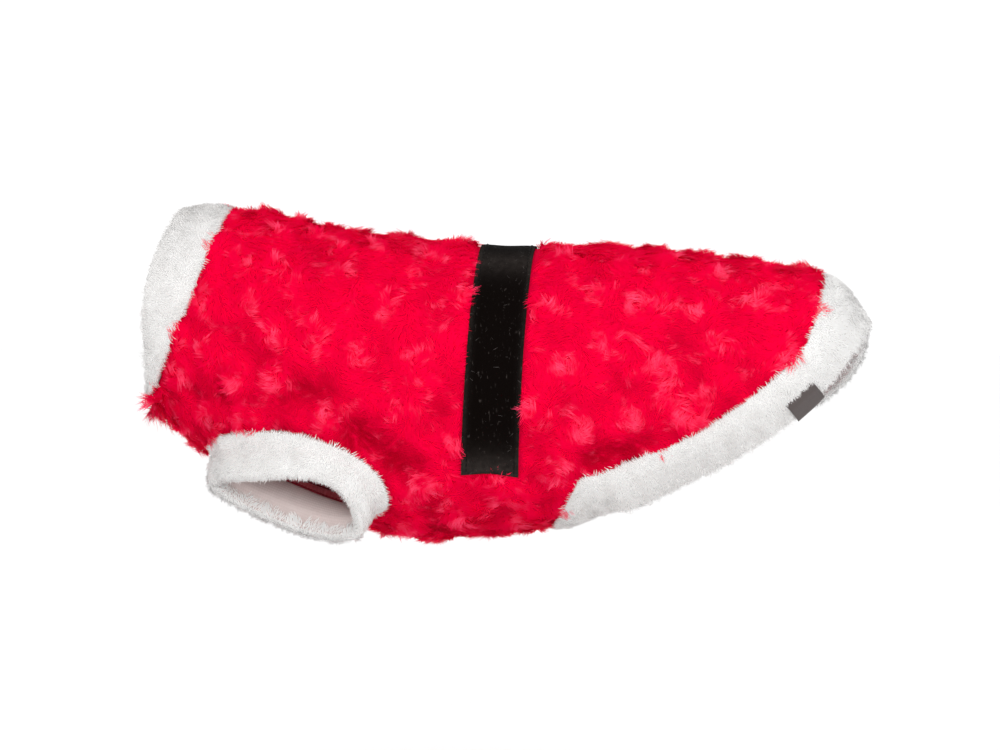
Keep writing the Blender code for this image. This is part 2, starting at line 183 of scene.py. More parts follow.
def read_curve(rows: Sequence[tuple[float, float]], at: np.ndarray | float) -> np.ndarray:
    """A smooth curve through rows of two columns.

    Args:
        rows: the curve's points, in order of their first column.
        at: where to read it, as values of the first column.

    Returns:
        The second column's values there.
    """
    xs = np.array([row[0] for row in rows], float)
    ys = np.array([row[1] for row in rows], float)
    at = np.asarray(at, float)
    index = np.clip(np.searchsorted(xs, at, side="left") - 1, 0, len(xs) - 2)
    before, after = np.maximum(index - 1, 0), np.minimum(index + 2, len(xs) - 1)
    run = xs[index + 1] - xs[index]
    slope_in = (ys[index + 1] - ys[before]) / (xs[index + 1] - xs[before]) * run
    slope_out = (ys[after] - ys[index]) / (xs[after] - xs[index]) * run
    step = np.clip((at - xs[index]) / run, 0.0, 1.0)
    return hermite(ys[index], ys[index + 1], slope_in, slope_out, step)


def wandering(points: np.ndarray, wave: float, seed: float) -> np.ndarray:
    """A smooth uneven value from about -1 to 1 over points in space.

    Args:
        points: places in metres.
        wave: the length over which the value changes, in metres.
        seed: any number, another one for another pattern.

    Returns:
        One value for each point.
    """
    x, y, z = (points[..., axis] * 2 * math.pi / wave for axis in range(3))
    first = np.sin(1.0 * x + 0.7 * y - 0.4 * z + seed) * np.sin(0.5 * x - 0.9 * y + 0.8 * z + 2.1 * seed)
    second = np.sin(-0.6 * x + 1.3 * y + 1.1 * z + 3.7 * seed) * np.sin(1.7 * x + 0.3 * z - seed)
    third = np.sin(2.3 * x - 1.9 * y + 2.1 * z + 5.3 * seed)
    return (first + 0.8 * second + 0.35 * third) / 1.5


@dataclass(frozen=True)
class CoatForm:
    """The filled-out outer form, read at a place along the coat and an angle round it.

    A place is a section number and may have a fraction. Angle 0 is the spine, and positive
    angles go down the near side.
    """

    widest_share: float = 0.5
    section_step: float = 33 * MM
    girth_radius: float = 68 * MM
    place_step: float = 0.02
    angle_step: float = 0.01

    def section(self, place: np.ndarray) -> np.ndarray:
        """The smooth blend of the sections at each place, in metres."""
        rows = np.array(SECTIONS, float) * MM
        last = len(rows) - 1
        index = np.minimum(np.maximum(place, 0).astype(int), last - 1)
        start, end = rows[index], rows[index + 1]
        before, after = rows[np.maximum(index - 1, 0)], rows[np.minimum(index + 2, last)]
        return hermite(start, end, (end - before) / 2, (after - start) / 2, (place - index)[..., None])

    def bare(self, place: np.ndarray, angle: np.ndarray) -> np.ndarray:
        """Points of the form with no creases."""
        row = self.section(place)
        level = np.zeros_like(row[..., 0])
        spine = np.stack([row[..., 0], level, row[..., 1]], -1)
        keel = np.stack([row[..., 2], level, row[..., 3]], -1)
        middle = spine + (keel - spine) * self.widest_share
        cosine = np.cos(angle)[..., None]
        reach = np.where(cosine > 0, spine - middle, middle - keel)
        outward = np.stack([level, -row[..., 4] * np.sin(angle), level], -1)
        return middle + reach * cosine + outward

    def frame_of(self, surface: Callable, place: np.ndarray, angle: np.ndarray) -> tuple:
        """The unit tangents along and round a surface, and its outward normal."""
        along = surface(place + self.place_step, angle) - surface(place - self.place_step, angle)
        round_it = surface(place, angle + self.angle_step) - surface(place, angle - self.angle_step)
        return unit(along), unit(round_it), unit(np.cross(round_it, along))

    def crease_depth(self, crease: Crease, place: np.ndarray, degrees: np.ndarray) -> np.ndarray:
        """How deep one crease is at each place on the cloth, in metres."""
        def flat(at: np.ndarray | float, round_it: np.ndarray | float) -> np.ndarray:
            """A place on the cloth laid flat, in metres."""
            return np.stack(np.broadcast_arrays(at * self.section_step,
                                                np.radians(round_it) * self.girth_radius), -1)

        start = flat(crease.from_place, crease.from_degrees)
        run = flat(crease.to_place, crease.to_degrees) - start
        here = flat(place, degrees)
        share = ((here - start) @ run) / (run @ run)
        nearest = start + run * np.clip(share, 0, 1)[..., None]
        away = np.linalg.norm(here - nearest, axis=-1) / (crease.half_width * MM)
        return crease.depth * MM * np.exp(-away * away) * ease(1.25 - np.abs(share - 0.5) * 2)

    def sunk(self, place: np.ndarray, angle: np.ndarray) -> np.ndarray:
        """How deep the creases of its side are at each place on the cloth, in metres."""
        degrees = np.degrees(np.abs(angle))
        near = sum(self.crease_depth(crease, place, degrees) for crease in NEAR_CREASES)
        far = sum(self.crease_depth(crease, place, degrees) for crease in FAR_CREASES)
        return np.where(angle > 0, near, far) * ease((180 - degrees) / 20) * ease(degrees / 20)

    def cloth(self, place: np.ndarray, angle: np.ndarray) -> np.ndarray:
        """Points of the form with the cloth's creases: the tips of level pile."""
        place, angle = np.broadcast_arrays(np.asarray(place, float), np.asarray(angle, float))
        normal = self.frame_of(self.bare, place, angle)[2]
        return self.bare(place, angle) - normal * self.sunk(place, angle)[..., None]

    def cloth_frame(self, place: np.ndarray, angle: np.ndarray) -> tuple:
        """The tangents along and round the creased cloth, and its outward normal."""
        return self.frame_of(self.cloth, place, angle)


@dataclass(frozen=True)
class Rosettes:
    """The whorls that the pile is pressed into: a heart in each, with the pile turning round it."""

    form: CoatForm
    spacing: float = 30 * MM
    radius: float = 10 * MM
    rise: float = 1.8 * MM

    def read(self, place: np.ndarray, angle: np.ndarray) -> tuple:
        """The nearest heart of each point.

        Returns:
            The closeness to it from 0 to 1, the flat vector from it in metres, along and round
            the coat, and the way that its pile turns, 1 or -1.
        """
        across = angle * self.form.girth_radius / self.spacing
        along = place * self.form.section_step / self.spacing
        nearest = np.full(np.shape(along), np.inf)
        arm = np.zeros(np.shape(along) + (2,))
        turn = np.ones(np.shape(along))
        for row_step in range(-1, 3):
            for column_step in range(-1, 3):
                row = np.floor(across) + row_step
                column = np.floor(along) + column_step
                heart_along = column + 0.5 * (row % 2) + 0.22 * np.sin(12.9 * row + 7.3 * column)
                heart_across = row + 0.22 * np.sin(4.7 * row - 9.1 * column)
                away = np.stack([along - heart_along, across - heart_across], -1) * self.spacing
                distance = np.linalg.norm(away, axis=-1)
                closer = distance < nearest
                nearest = np.where(closer, distance, nearest)
                arm = np.where(closer[..., None], away, arm)
                turn = np.where(closer, np.sign(np.sin(3.1 * row + 5.7 * column + 0.4)), turn)
        return np.exp(-((nearest / self.radius) ** 2)), arm, turn


@dataclass(frozen=True)
class CutPlan:
    """Where the edges of the coat's pieces lie on the form."""

    form: CoatForm
    seam_gap: float = 0.3 * MM
    belt_width: float = 29 * MM
    belt_slope_run: float = 2.6 * MM
    belt: float = 6.0
    belt_reach: float = 0.980
    belt_skew: float = 0.016
    belly_hem: float = 7.3
    belly_stretch_from: float = 6.5
    belly_bow: float = 0.4
    belly_rounding: float = 1.8
    stretch_from: float = 8.0
    hem_corner: float = 10.6
    tail_seam: float = 11.2
    tail_rounding: float = 2.2
    far_reach: float = 0.5
    neck_bow: float = 0.26
    neck_stretch_to: float = 1.2
    neck_wave: tuple = (NeckPoint(0, 0), NeckPoint(60, 0), NeckPoint(80, 2.2), NeckPoint(98, 0.2),
                        NeckPoint(119, 1.6), NeckPoint(145, 4.0), NeckPoint(180, 2.0))
    leg_middle: float = 3.075
    leg_half_length: float = 1.475
    leg_front_level: float = 155.0
    leg_back_level: float = 136.0
    leg_rise: float = 28.0
    leg_drop: float = 18.0
    far_drop: tuple = (EdgePoint(7.3, 0), EdgePoint(8.0, 0), EdgePoint(9.0, 0), EdgePoint(10.0, 2),
                       EdgePoint(10.6, 10))

    @property
    def side_edge(self) -> tuple[EdgePoint, ...]:
        """The back panel's side edge: the seam to the belly panel, then the hem seam."""
        return (
            EdgePoint(0.0, 142),
            EdgePoint(self.leg_middle - self.leg_half_length, self.leg_front_level),
            EdgePoint(self.leg_middle + self.leg_half_length, self.leg_back_level),
            EdgePoint(5.2, 129),
            EdgePoint(self.belt, 123.5),
            EdgePoint(self.belly_hem, 128),
            EdgePoint(8.0, 120),
            EdgePoint(9.0, 109),
            EdgePoint(10.0, 93),
            EdgePoint(self.hem_corner, 79),
        )

    def leg_share(self, place: np.ndarray) -> np.ndarray:
        """The leg hole's height at a place, as a share of its height in the middle."""
        away = (place - self.leg_middle) / self.leg_half_length
        return np.sqrt(np.maximum(0.0, 1 - away * away))

    def leg_level(self, place: np.ndarray) -> np.ndarray:
        """The line between the two ends of the leg hole, in degrees."""
        share = 0.5 + (place - self.leg_middle) / self.leg_half_length / 2
        return self.leg_front_level + (self.leg_back_level - self.leg_front_level) * share

    def edge(self, place: np.ndarray, side: np.ndarray, hole: float, gap: float) -> np.ndarray:
        """A panel's side edge in radians, going round the leg hole by hole degrees."""
        share = self.leg_share(place)
        degrees = read_curve(self.side_edge, place)
        dropped = degrees + read_curve(self.far_drop, place)
        degrees = np.where((side < 0) & (place > self.belly_hem), dropped, degrees)
        degrees = np.where(share > 0, self.leg_level(place) + hole * share, degrees)
        return np.radians(degrees) + gap * self.seam_gap * 0.8 / self.form.girth_radius

    def back_edge(self, place: np.ndarray, side: np.ndarray) -> np.ndarray:
        """The back panel's side edge in radians, round the top of the leg hole."""
        return self.edge(place, side, -self.leg_rise, -1)

    def belly_edge(self, place: np.ndarray) -> np.ndarray:
        """The belly panel's side edge in radians, round the bottom of the leg hole."""
        return self.edge(place, np.ones_like(place), self.leg_drop, 1)

    def leg_places(self, fineness: int) -> np.ndarray:
        """The places of the panels' points round the leg hole, closer together at its ends."""
        turn = np.linspace(0, math.pi, 12 * fineness + 1)
        return self.leg_middle - self.leg_half_length * np.cos(turn)

    def belt_places(self) -> np.ndarray:
        """The rows that carry the belt: a pressed floor and a soft bank of pile at each side."""
        floor = (self.belt_width / 2 + 2 * self.seam_gap) / BELT_ROW_STEP
        bank = floor + self.belt_slope_run / BELT_ROW_STEP
        return self.belt + np.array([-bank, -floor, 0, floor, bank])

    def belt_end(self, place: np.ndarray) -> np.ndarray:
        """Where the belt ends on each side in radians: a little lower at its rear corner."""
        share = np.clip((place - self.belt) * BELT_ROW_STEP / (self.belt_width / 2), -1, 1)
        return self.back_edge(place, np.ones_like(place)) * (self.belt_reach + self.belt_skew * share)

    def places(self, fineness: int, belly: bool = False) -> np.ndarray:
        """The rows of a panel from the neck seam to its last row, finer than the solid's own."""
        leg, belt = self.leg_places(fineness), self.belt_places()
        rows = [
            np.linspace(0.0, leg[0], 5 * fineness + 1)[:-1],
            leg,
            np.linspace(leg[-1], belt[0], 4 * fineness + 1)[1:-1],
            np.interp(np.arange(4 * fineness + 1) / fineness, np.arange(5), belt),
            np.linspace(belt[-1], self.belly_hem, 2 * fineness + 1)[1:],
        ]
        if not belly:
            rows.append(np.linspace(self.belly_hem, self.hem_corner, 12 * fineness + 1)[1:])
        return np.concatenate(rows)

    def neck_place(self, place: np.ndarray, angle: np.ndarray) -> np.ndarray:
        """Places near the neck moved back where the neck seam wanders back from its even line."""
        wave = read_curve(self.neck_wave, np.degrees(np.abs(angle))) * MM / self.form.section_step
        return place + (self.neck_bow * np.sin(angle) ** 2 + wave) * ease(1 - place / self.neck_stretch_to)

    def back_grid(self, fineness: int) -> tuple[np.ndarray, np.ndarray]:
        """The places and angles of the back panel's points, from its far side to its near side."""
        across = np.linspace(-1, 1, 32 * fineness + 1)[None, :]
        place = self.places(fineness)[:, None]
        angle = across * self.back_edge(place + 0 * across, across + 0 * place)
        rounding = (self.tail_seam - self.hem_corner) * (1 - np.abs(across) ** self.tail_rounding)
        reach = self.far_reach * np.maximum(-across, 0) ** 2
        stretch = ease((place - self.stretch_from) / (self.hem_corner - self.stretch_from))
        return self.neck_place(place + (rounding + reach) * stretch, angle), angle

    def belly_grid(self, fineness: int) -> tuple[np.ndarray, np.ndarray]:
        """The places and angles of the belly panel's points, from its near seam to its far seam."""
        across = np.linspace(-1, 1, 8 * fineness + 1)[None, :]
        place = self.places(fineness, belly=True)[:, None]
        angle = math.pi + across * (math.pi - self.belly_edge(place + 0 * across))
        angle = (angle + math.pi) % (2 * math.pi) - math.pi
        bow = self.belly_bow * (1 - np.abs(across) ** self.belly_rounding)
        stretch = ease((place - self.belly_stretch_from) / (self.belly_hem - self.belly_stretch_from))
        return self.neck_place(place - bow * stretch, angle), angle

    def neck_seam(self) -> np.ndarray:
        """The neck seam's rows of place and angle, once round from the far belly seam."""
        back, belly = np.stack(self.back_grid(1), -1), np.stack(self.belly_grid(1), -1)
        return np.concatenate([back[0, :-1], belly[0, :-1]])

    def leg_seam(self, side: Side) -> np.ndarray:
        """A leg hole's rows of place and angle, once round."""
        places = self.leg_places(1)
        facing = np.full(places.shape, side.value)
        over = np.stack([places, side.value * self.back_edge(places, facing)], -1)
        under = np.stack([places, side.value * self.belly_edge(places)], -1)[1:-1][::-1]
        return np.concatenate([over, under])[:: side.value]

    def hem_seam(self) -> np.ndarray:
        """The hem seam's rows of place and angle, once round: tail, far flank, belly, near flank."""
        back, belly = np.stack(self.back_grid(1), -1), np.stack(self.belly_grid(1), -1)
        flank = np.nonzero(self.places(1) > self.belly_hem + 1e-6)[0]
        return np.concatenate([
            back[-1, ::-1],
            back[flank[:-1][::-1], 0],
            belly[-1, ::-1],
            back[flank[:-1], -1],
        ])


def slerp(start: np.ndarray, end: np.ndarray, share: float) -> np.ndarray:
    """Unit vectors turned from start towards end by a share of the angle between them."""
    angle = np.arccos(np.clip(np.sum(start * end, -1, keepdims=True), -1, 1))
    sine = np.maximum(np.sin(angle), 1e-6)
    turned = (np.sin((1 - share) * angle) * start + np.sin(share * angle) * end) / sine
    return unit(np.where(angle < 1e-4, start, turned))


def carried(vectors: np.ndarray, start: np.ndarray, end: np.ndarray) -> np.ndarray:
    """Vectors turned by the shortest turn that takes unit start to unit end."""
    axis = np.cross(start, end)
    cosine = np.sum(start * end, -1, keepdims=True)
    lean = np.sum(axis * vectors, -1, keepdims=True) / np.maximum(1 + cosine, 1e-6)
    return vectors * cosine + np.cross(axis, vectors) + axis * lean


def resampled(points: np.ndarray, steps: int, axis: int, closed: bool = True) -> np.ndarray:
    """Rows of points with steps times as many along an axis, on the smooth curve through them."""
    moved = np.moveaxis(points, axis, 0)
    count = len(moved)
    at = np.arange(count * steps if closed else (count - 1) * steps + 1) / steps
    index = np.minimum(at.astype(int), count - 1 if closed else count - 2)

    def pick(shift: int) -> np.ndarray:
        """The rows a number of steps from the one before each place."""
        wanted = index + shift
        return moved[wanted % count if closed else np.clip(wanted, 0, count - 1)]

    step = (at - index).reshape((-1,) + (1,) * (moved.ndim - 1))
    start, end = pick(0), pick(1)
    fine = hermite(start, end, (end - pick(-1)) / 2, (pick(2) - start) / 2, step)
    return np.moveaxis(fine, 0, axis)


@dataclass(frozen=True)
class BandShape:
    """The form of every folded trim band, worked out from its seam as the solids are."""

    form: CoatForm
    cut: CutPlan
    wall: float = 6.6 * MM
    rails: tuple[float, ...] = (0.0, 0.12, 0.34, 0.62, 0.82, 1.0)
    lip_degrees: tuple[float, ...] = (35, 70, 110, 145)
    turn_rate: float = 2.6
    turn_steps: int = 4
    relax_rounds: int = 3

    def outlines(self, seam: np.ndarray, width: np.ndarray, aim: Callable, puff: float) -> np.ndarray:
        """The band's outlines, one for each point of its seam.

        Args:
            seam: rows of place and angle, once round, with the panel on their left.
            width: the band's width at each row, in metres.
            aim: gives the way at the lip from the normals and the ways that the band leaves.
            puff: how far the outer face bulges, in metres.

        Returns:
            Points as outlines by points by 3: over the outer face, round the lip and back.
        """
        place, angle = seam[:, 0], seam[:, 1]
        points = self.form.cloth(place, angle)
        normal = self.form.cloth_frame(place, angle)[2]
        leaving = unit(np.cross(np.roll(points, -1, 0) - np.roll(points, 1, 0), normal))
        goal = unit(aim(normal, leaving))
        straight = (width - self.wall / 2)[:, None]
        point, reached, across, way = points + leaving * self.cut.seam_gap, 0.0, normal, leaving
        outer, inner = [], []
        for share in self.rails:
            for step in range(self.turn_steps):
                part = reached + (share - reached) * (step + 0.5) / self.turn_steps
                way = slerp(leaving, goal, float(ease(part * self.turn_rate)))
                point = point + way * straight * (share - reached) / self.turn_steps
            reached = share
            across = carried(normal, leaving, way)
            outer.append(point + across * puff * math.sin(math.pi * share))
            inner.append(point - across * (self.wall - puff * 0.4 * share))
        middle = (outer[-1] + inner[-1]) / 2
        radius = np.linalg.norm(outer[-1] - inner[-1], axis=-1, keepdims=True) / 2
        turns = [math.radians(degrees) for degrees in self.lip_degrees]
        lip = [middle + (across * math.cos(turn) + way * math.sin(turn)) * radius for turn in turns]
        return self.relaxed(np.stack(outer + lip + inner[::-1], 1))

    def relaxed(self, outlines: np.ndarray) -> np.ndarray:
        """The outlines with the band's free part eased round the seam's corners."""
        weights = np.array(self.rails + (1.0,) * len(self.lip_degrees) + self.rails[::-1])
        for _ in range(self.relax_rounds):
            between = (np.roll(outlines, 1, 0) + np.roll(outlines, -1, 0)) / 2
            outlines = outlines + (between - outlines) * 0.5 * weights[None, :, None]
        return outlines


class Faces:
    """Quads over grids of points, as rows of four vertex numbers."""

    @staticmethod
    def grid(rows: int, columns: int, closed_rows: bool = False, closed_columns: bool = False) -> np.ndarray:
        """Quads over a grid, wrapped round where it is closed."""
        down = np.arange(rows if closed_rows else rows - 1)[:, None]
        over = np.arange(columns if closed_columns else columns - 1)[None, :]
        below, beside = (down + 1) % rows, (over + 1) % columns
        corners = (down * columns + over, down * columns + beside, below * columns + beside,
                   below * columns + over)
        return np.stack(np.broadcast_arrays(*corners), -1).reshape(-1, 4)

    @staticmethod
    def rim(rows: int, columns: int) -> np.ndarray:
        """Quads that close the four edges of a wall whose inner grid follows its outer grid."""
        border = np.concatenate([
            np.arange(columns),
            np.arange(1, rows) * columns + columns - 1,
            (rows - 1) * columns + np.arange(columns - 2, -1, -1),
            np.arange(rows - 2, 0, -1) * columns,
        ])
        following = np.roll(border, -1)
        under = rows * columns
        return np.stack([following, border, under + border, under + following], -1)


class MeshMaker:
    """Turns arrays into mesh objects in the scene."""

    @staticmethod
    def shell(name: str, outer: np.ndarray, inner: np.ndarray, flats: np.ndarray) -> bpy.types.Object:
        """A closed shell between two grids of points, whose faces point outwards."""
        rows, columns = outer.shape[:2]
        over = Faces.grid(rows, columns)
        faces = np.concatenate([over, over[:, ::-1] + rows * columns, Faces.rim(rows, columns)])
        made = MeshMaker.make(name, np.concatenate([outer, inner]), faces, np.concatenate([flats, flats]))
        MeshMaker.outward(made)
        return made

    @staticmethod
    def make(name: str, points: np.ndarray, faces: np.ndarray,
             flats: np.ndarray | None = None) -> bpy.types.Object:
        """A smooth-shaded object at the origin.

        Args:
            name: the object's name.
            points: vertices in metres.
            faces: rows of vertex numbers.
            flats: each vertex's place on the flat cloth in metres, for the UV map.

        Returns:
            The object, linked to the scene.
        """
        mesh = bpy.data.meshes.new(name)
        mesh.from_pydata(points.reshape(-1, 3).tolist(), [], faces.tolist())
        mesh.update()
        mesh.shade_smooth()
        if flats is not None:
            layer = mesh.uv_layers.new(name="cloth")
            corners = np.zeros(len(mesh.loops), np.int32)
            mesh.loops.foreach_get("vertex_index", corners)
            layer.uv.foreach_set("vector", flats.reshape(-1, 2)[corners].astype(np.float32).ravel())
        obj = bpy.data.objects.new(name, mesh)
        bpy.context.scene.collection.objects.link(obj)
        return obj

    @staticmethod
    def note(obj: bpy.types.Object, name: str, values: np.ndarray) -> None:
        """Keeps a number or a vector for each vertex of an object as a named attribute."""
        vector = values.shape[-1] == 3 and values.ndim > 1
        kind, key = ("FLOAT_VECTOR", "vector") if vector else ("FLOAT", "value")
        attribute = obj.data.attributes.new(name, kind, "POINT")
        attribute.data.foreach_set(key, values.astype(np.float32).ravel())

    @staticmethod
    def outward(obj: bpy.types.Object) -> None:
        """Turns a closed mesh's faces round where they point inwards."""
        mesh = obj.data
        mesh.calc_loop_triangles()
        corners = np.zeros(len(mesh.loop_triangles) * 3, np.int32)
        mesh.loop_triangles.foreach_get("vertices", corners)
        points = np.zeros(len(mesh.vertices) * 3, np.float32)
        mesh.vertices.foreach_get("co", points)
        if np.linalg.det(points.reshape(-1, 3).astype(float)[corners.reshape(-1, 3)]).sum() < 0:
            mesh.flip_normals()


class Tree:
    """A small hand for building node trees by name."""

    def __init__(self, tree: bpy.types.NodeTree) -> None:
        """Keeps the tree that is built."""
        self.tree = tree

    def add(self, kind: str, **settings: object) -> bpy.types.Node:
        """A new node.

        Args:
            kind: the node's type name.
            settings: its properties; a key that starts with set_ gives an input's value.

        Returns:
            The node.
        """
        node = self.tree.nodes.new(kind)
        for key, value in settings.items():
            if key.startswith("set_"):
                node.inputs[key[4:].replace("_", " ")].default_value = value
            else:
                setattr(node, key, value)
        return node

    def join(self, start: bpy.types.NodeSocket, end: bpy.types.NodeSocket) -> None:
        """Links an output to an input."""
        self.tree.links.new(start, end)

    def maths(self, operation: str, first: object, second: object = None) -> bpy.types.NodeSocket:
        """One step of arithmetic on values or sockets, giving its output."""
        node = self.add("ShaderNodeMath", operation=operation)
        for socket, value in zip(node.inputs, (first, second)):
            if isinstance(value, bpy.types.NodeSocket):
                self.join(value, socket)
            elif value is not None:
                socket.default_value = value
        return node.outputs[0]

    def vectors(self, operation: str, first: object, second: object = None,
                scale: object = None) -> bpy.types.NodeSocket:
        """One step of vector arithmetic, giving its vector output."""
        node = self.add("ShaderNodeVectorMath", operation=operation)
        for socket, value in ((node.inputs[0], first), (node.inputs[1], second), (node.inputs[3], scale)):
            if isinstance(value, bpy.types.NodeSocket):
                self.join(value, socket)
            elif value is not None:
                socket.default_value = value
        return node.outputs[0]

    def blend(self, share: object, first: object, second: object) -> bpy.types.NodeSocket:
        """A mix of two colours, each given as a value or a socket."""
        node = self.add("ShaderNodeMix", data_type="RGBA")
        for socket, value in ((node.inputs[0], share), (node.inputs[6], first), (node.inputs[7], second)):
            if isinstance(value, bpy.types.NodeSocket):
                self.join(value, socket)
            else:
                socket.default_value = value
        return node.outputs[2]


@dataclass(frozen=True)
class Socket:
    """A named input or output of a node group."""

    name: str
    kind: str
    value: object = None
    output: bool = False


def new_group(name: str, kind: str, sockets: Sequence[Socket]) -> tuple:
    """A node group with its sockets, and the nodes at its two ends.

    Args:
        name: the group's name.
        kind: ShaderNodeTree or GeometryNodeTree.
        sockets: the group's inputs and outputs.

    Returns:
        The building hand, the group's input node and its output node.
    """
    group = bpy.data.node_groups.new(name, kind)
    for socket in sockets:
        direction = "OUTPUT" if socket.output else "INPUT"
        made = group.interface.new_socket(name=socket.name, in_out=direction, socket_type=socket.kind)
        if socket.value is not None:
            made.default_value = socket.value
    hand = Tree(group)
    return hand, hand.add("NodeGroupInput"), hand.add("NodeGroupOutput")


class ShaderGroups:
    """The effects that more than one finish uses, each built once."""

    def __init__(self) -> None:
        """Builds the groups."""
        self.fibre = self.build_fibre()
        self.soft_normal = self.build_soft_normal()
        self.knit = self.build_knit()

    @staticmethod
    def build_fibre() -> bpy.types.NodeTree:
        """A fibre's colour: darker at its root and in hollows (painted shade), paler at the tips of a tuft
        (painted highlight).
        """
        hand, given, result = new_group("fibre_colour", "ShaderNodeTree", (
            Socket("Root", "NodeSocketColor", (0, 0, 0, 1)),
            Socket("Body", "NodeSocketColor", (0.5, 0.5, 0.5, 1)),
            Socket("Tip", "NodeSocketColor", (1, 1, 1, 1)),
            Socket("Hollow", "NodeSocketColor", (0, 0, 0, 1)),
            Socket("Patch Size", "NodeSocketFloat", 0.02),
            Socket("Tip Reach", "NodeSocketFloat", 0.5),
            Socket("Rarity", "NodeSocketFloat", 1.0),
            Socket("Colour", "NodeSocketColor", output=True),
        ))
        reach = hand.add("ShaderNodeAttribute", attribute_name="tip").outputs["Fac"]
        tone = hand.add("ShaderNodeAttribute", attribute_name="tone").outputs["Fac"]
        heart = hand.add("ShaderNodeAttribute", attribute_name="heart").outputs["Fac"]
        hollow = hand.add("ShaderNodeAttribute", attribute_name="hollow").outputs["Fac"]
        place = hand.add("ShaderNodeTexCoord")
        noise = hand.add("ShaderNodeTexNoise", set_Detail=2.0)
        hand.join(place.outputs["Object"], noise.inputs["Vector"])
        hand.join(hand.maths("DIVIDE", 1.0, given.outputs["Patch Size"]), noise.inputs["Scale"])
        rising = hand.add("ShaderNodeMapRange", interpolation_type="SMOOTHSTEP")
        hand.join(reach, rising.inputs["Value"])
        rising.inputs["From Max"].default_value = 0.6
        body = hand.blend(rising.outputs[0], given.outputs["Root"], given.outputs["Body"])
        # Painted shade: the colour darkens towards its shade colour in the pile's hollows and shaded parts.
        shaded = hand.blend(hollow, body, given.outputs["Hollow"])
        # Painted highlight: tuft tips turn to the tip colour where tone, rosette heart and a noise patch add
        # up.
        patch = hand.maths("MULTIPLY_ADD", noise.outputs["Fac"], 4.4)
        patch.node.inputs[2].default_value = -2.2
        lively = hand.maths("MULTIPLY_ADD", tone, 0.8)
        hand.join(hand.maths("ADD", heart, patch), lively.node.inputs[2])
        pale = hand.maths("SUBTRACT", lively, given.outputs["Rarity"])
        pale.node.use_clamp = True
        share = hand.maths("MULTIPLY", hand.maths("MULTIPLY", pale, reach), given.outputs["Tip Reach"])
        share.node.use_clamp = True
        hand.join(hand.blend(share, shaded, given.outputs["Tip"]), result.inputs["Colour"])
        return hand.tree

    @staticmethod
    def build_soft_normal() -> bpy.types.NodeTree:
        """A fibre's normal turned part of the way to the normal of the cloth that it grows on."""
        hand, given, result = new_group("pile_normal", "ShaderNodeTree", (
            Socket("Cloth Share", "NodeSocketFloat", 0.5),
            Socket("Normal", "NodeSocketVector", output=True),
            Socket("Through Normal", "NodeSocketVector", output=True),
        ))
        own = hand.add("ShaderNodeNewGeometry")
        cloth = hand.add("ShaderNodeAttribute", attribute_name="cloth_normal")
        mix = hand.add("ShaderNodeMix", data_type="VECTOR")
        hand.join(given.outputs["Cloth Share"], mix.inputs[0])
        hand.join(own.outputs["Normal"], mix.inputs[4])
        hand.join(cloth.outputs["Vector"], mix.inputs[5])
        normal = hand.vectors("NORMALIZE", mix.outputs[1])
        hand.join(normal, result.inputs["Normal"])
        hand.join(hand.vectors("SCALE", normal, scale=-1.0), result.inputs["Through Normal"])
        return hand.tree

    @staticmethod
    def build_knit() -> bpy.types.NodeTree:
        """The fine ribs and loops of a knitted backing, as a height."""
        hand, given, result = new_group("knit_backing", "ShaderNodeTree", (
            Socket("Ribs per metre", "NodeSocketFloat", 700.0),
            Socket("Height", "NodeSocketFloat", output=True),
        ))
        place = hand.add("ShaderNodeUVMap", uv_map="cloth")
        parts = hand.add("ShaderNodeSeparateXYZ")
        hand.join(place.outputs[0], parts.inputs[0])
        turn = hand.maths("MULTIPLY", given.outputs["Ribs per metre"], 2 * math.pi)
        rib = hand.maths("SINE", hand.maths("MULTIPLY", parts.outputs["X"], turn))
        slant = hand.maths("MULTIPLY_ADD", rib, 0.8)
        hand.join(hand.maths("MULTIPLY", parts.outputs["Y"], turn), slant.node.inputs[2])
        loop = hand.maths("SINE", slant)
        height = hand.maths("MULTIPLY_ADD", loop, 0.35)
        hand.join(hand.maths("MULTIPLY", rib, 0.5), height.node.inputs[2])
        hand.join(height, result.inputs["Height"])
        return hand.tree


def new_material(name: str) -> tuple[bpy.types.Material, Tree, bpy.types.Node]:
    """A material, the hand that builds its nodes, and its Principled shader."""
    material = bpy.data.materials.new(name)
    material.use_nodes = True
    hand = Tree(material.node_tree)
    return material, hand, material.node_tree.nodes["Principled BSDF"]


def place_group(hand: Tree, group: bpy.types.NodeTree, **values: object) -> bpy.types.Node:
    """A group placed in a material, with its inputs set from values named with underscores."""
    node = hand.add("ShaderNodeGroup", node_tree=group)
    for key, value in values.items():
        node.inputs[key.replace("_", " ")].default_value = value
    return node


def bumped(hand: Tree, shader: bpy.types.Node, height: bpy.types.NodeSocket, depth: float,
           strength: float = 1.0) -> None:
    """Gives a shader a bump of a depth in metres from a height of about 0 to 1."""
    bump = hand.add("ShaderNodeBump", set_Strength=strength, set_Distance=depth)
    hand.join(height, bump.inputs["Height"])
    hand.join(bump.outputs[0], shader.inputs["Normal"])


def noise_at(hand: Tree, size: float, detail: float = 3.0,
             stretch: tuple = (1, 1, 1)) -> bpy.types.NodeSocket:
    """Noise over the object, with patches of a size in metres."""
    place = hand.add("ShaderNodeTexCoord")
    mapping = hand.add("ShaderNodeMapping", set_Scale=stretch)
    hand.join(place.outputs["Object"], mapping.inputs["Vector"])
    noise = hand.add("ShaderNodeTexNoise", set_Scale=1 / size, set_Detail=detail)
    hand.join(mapping.outputs[0], noise.inputs["Vector"])
    return noise.outputs["Fac"]


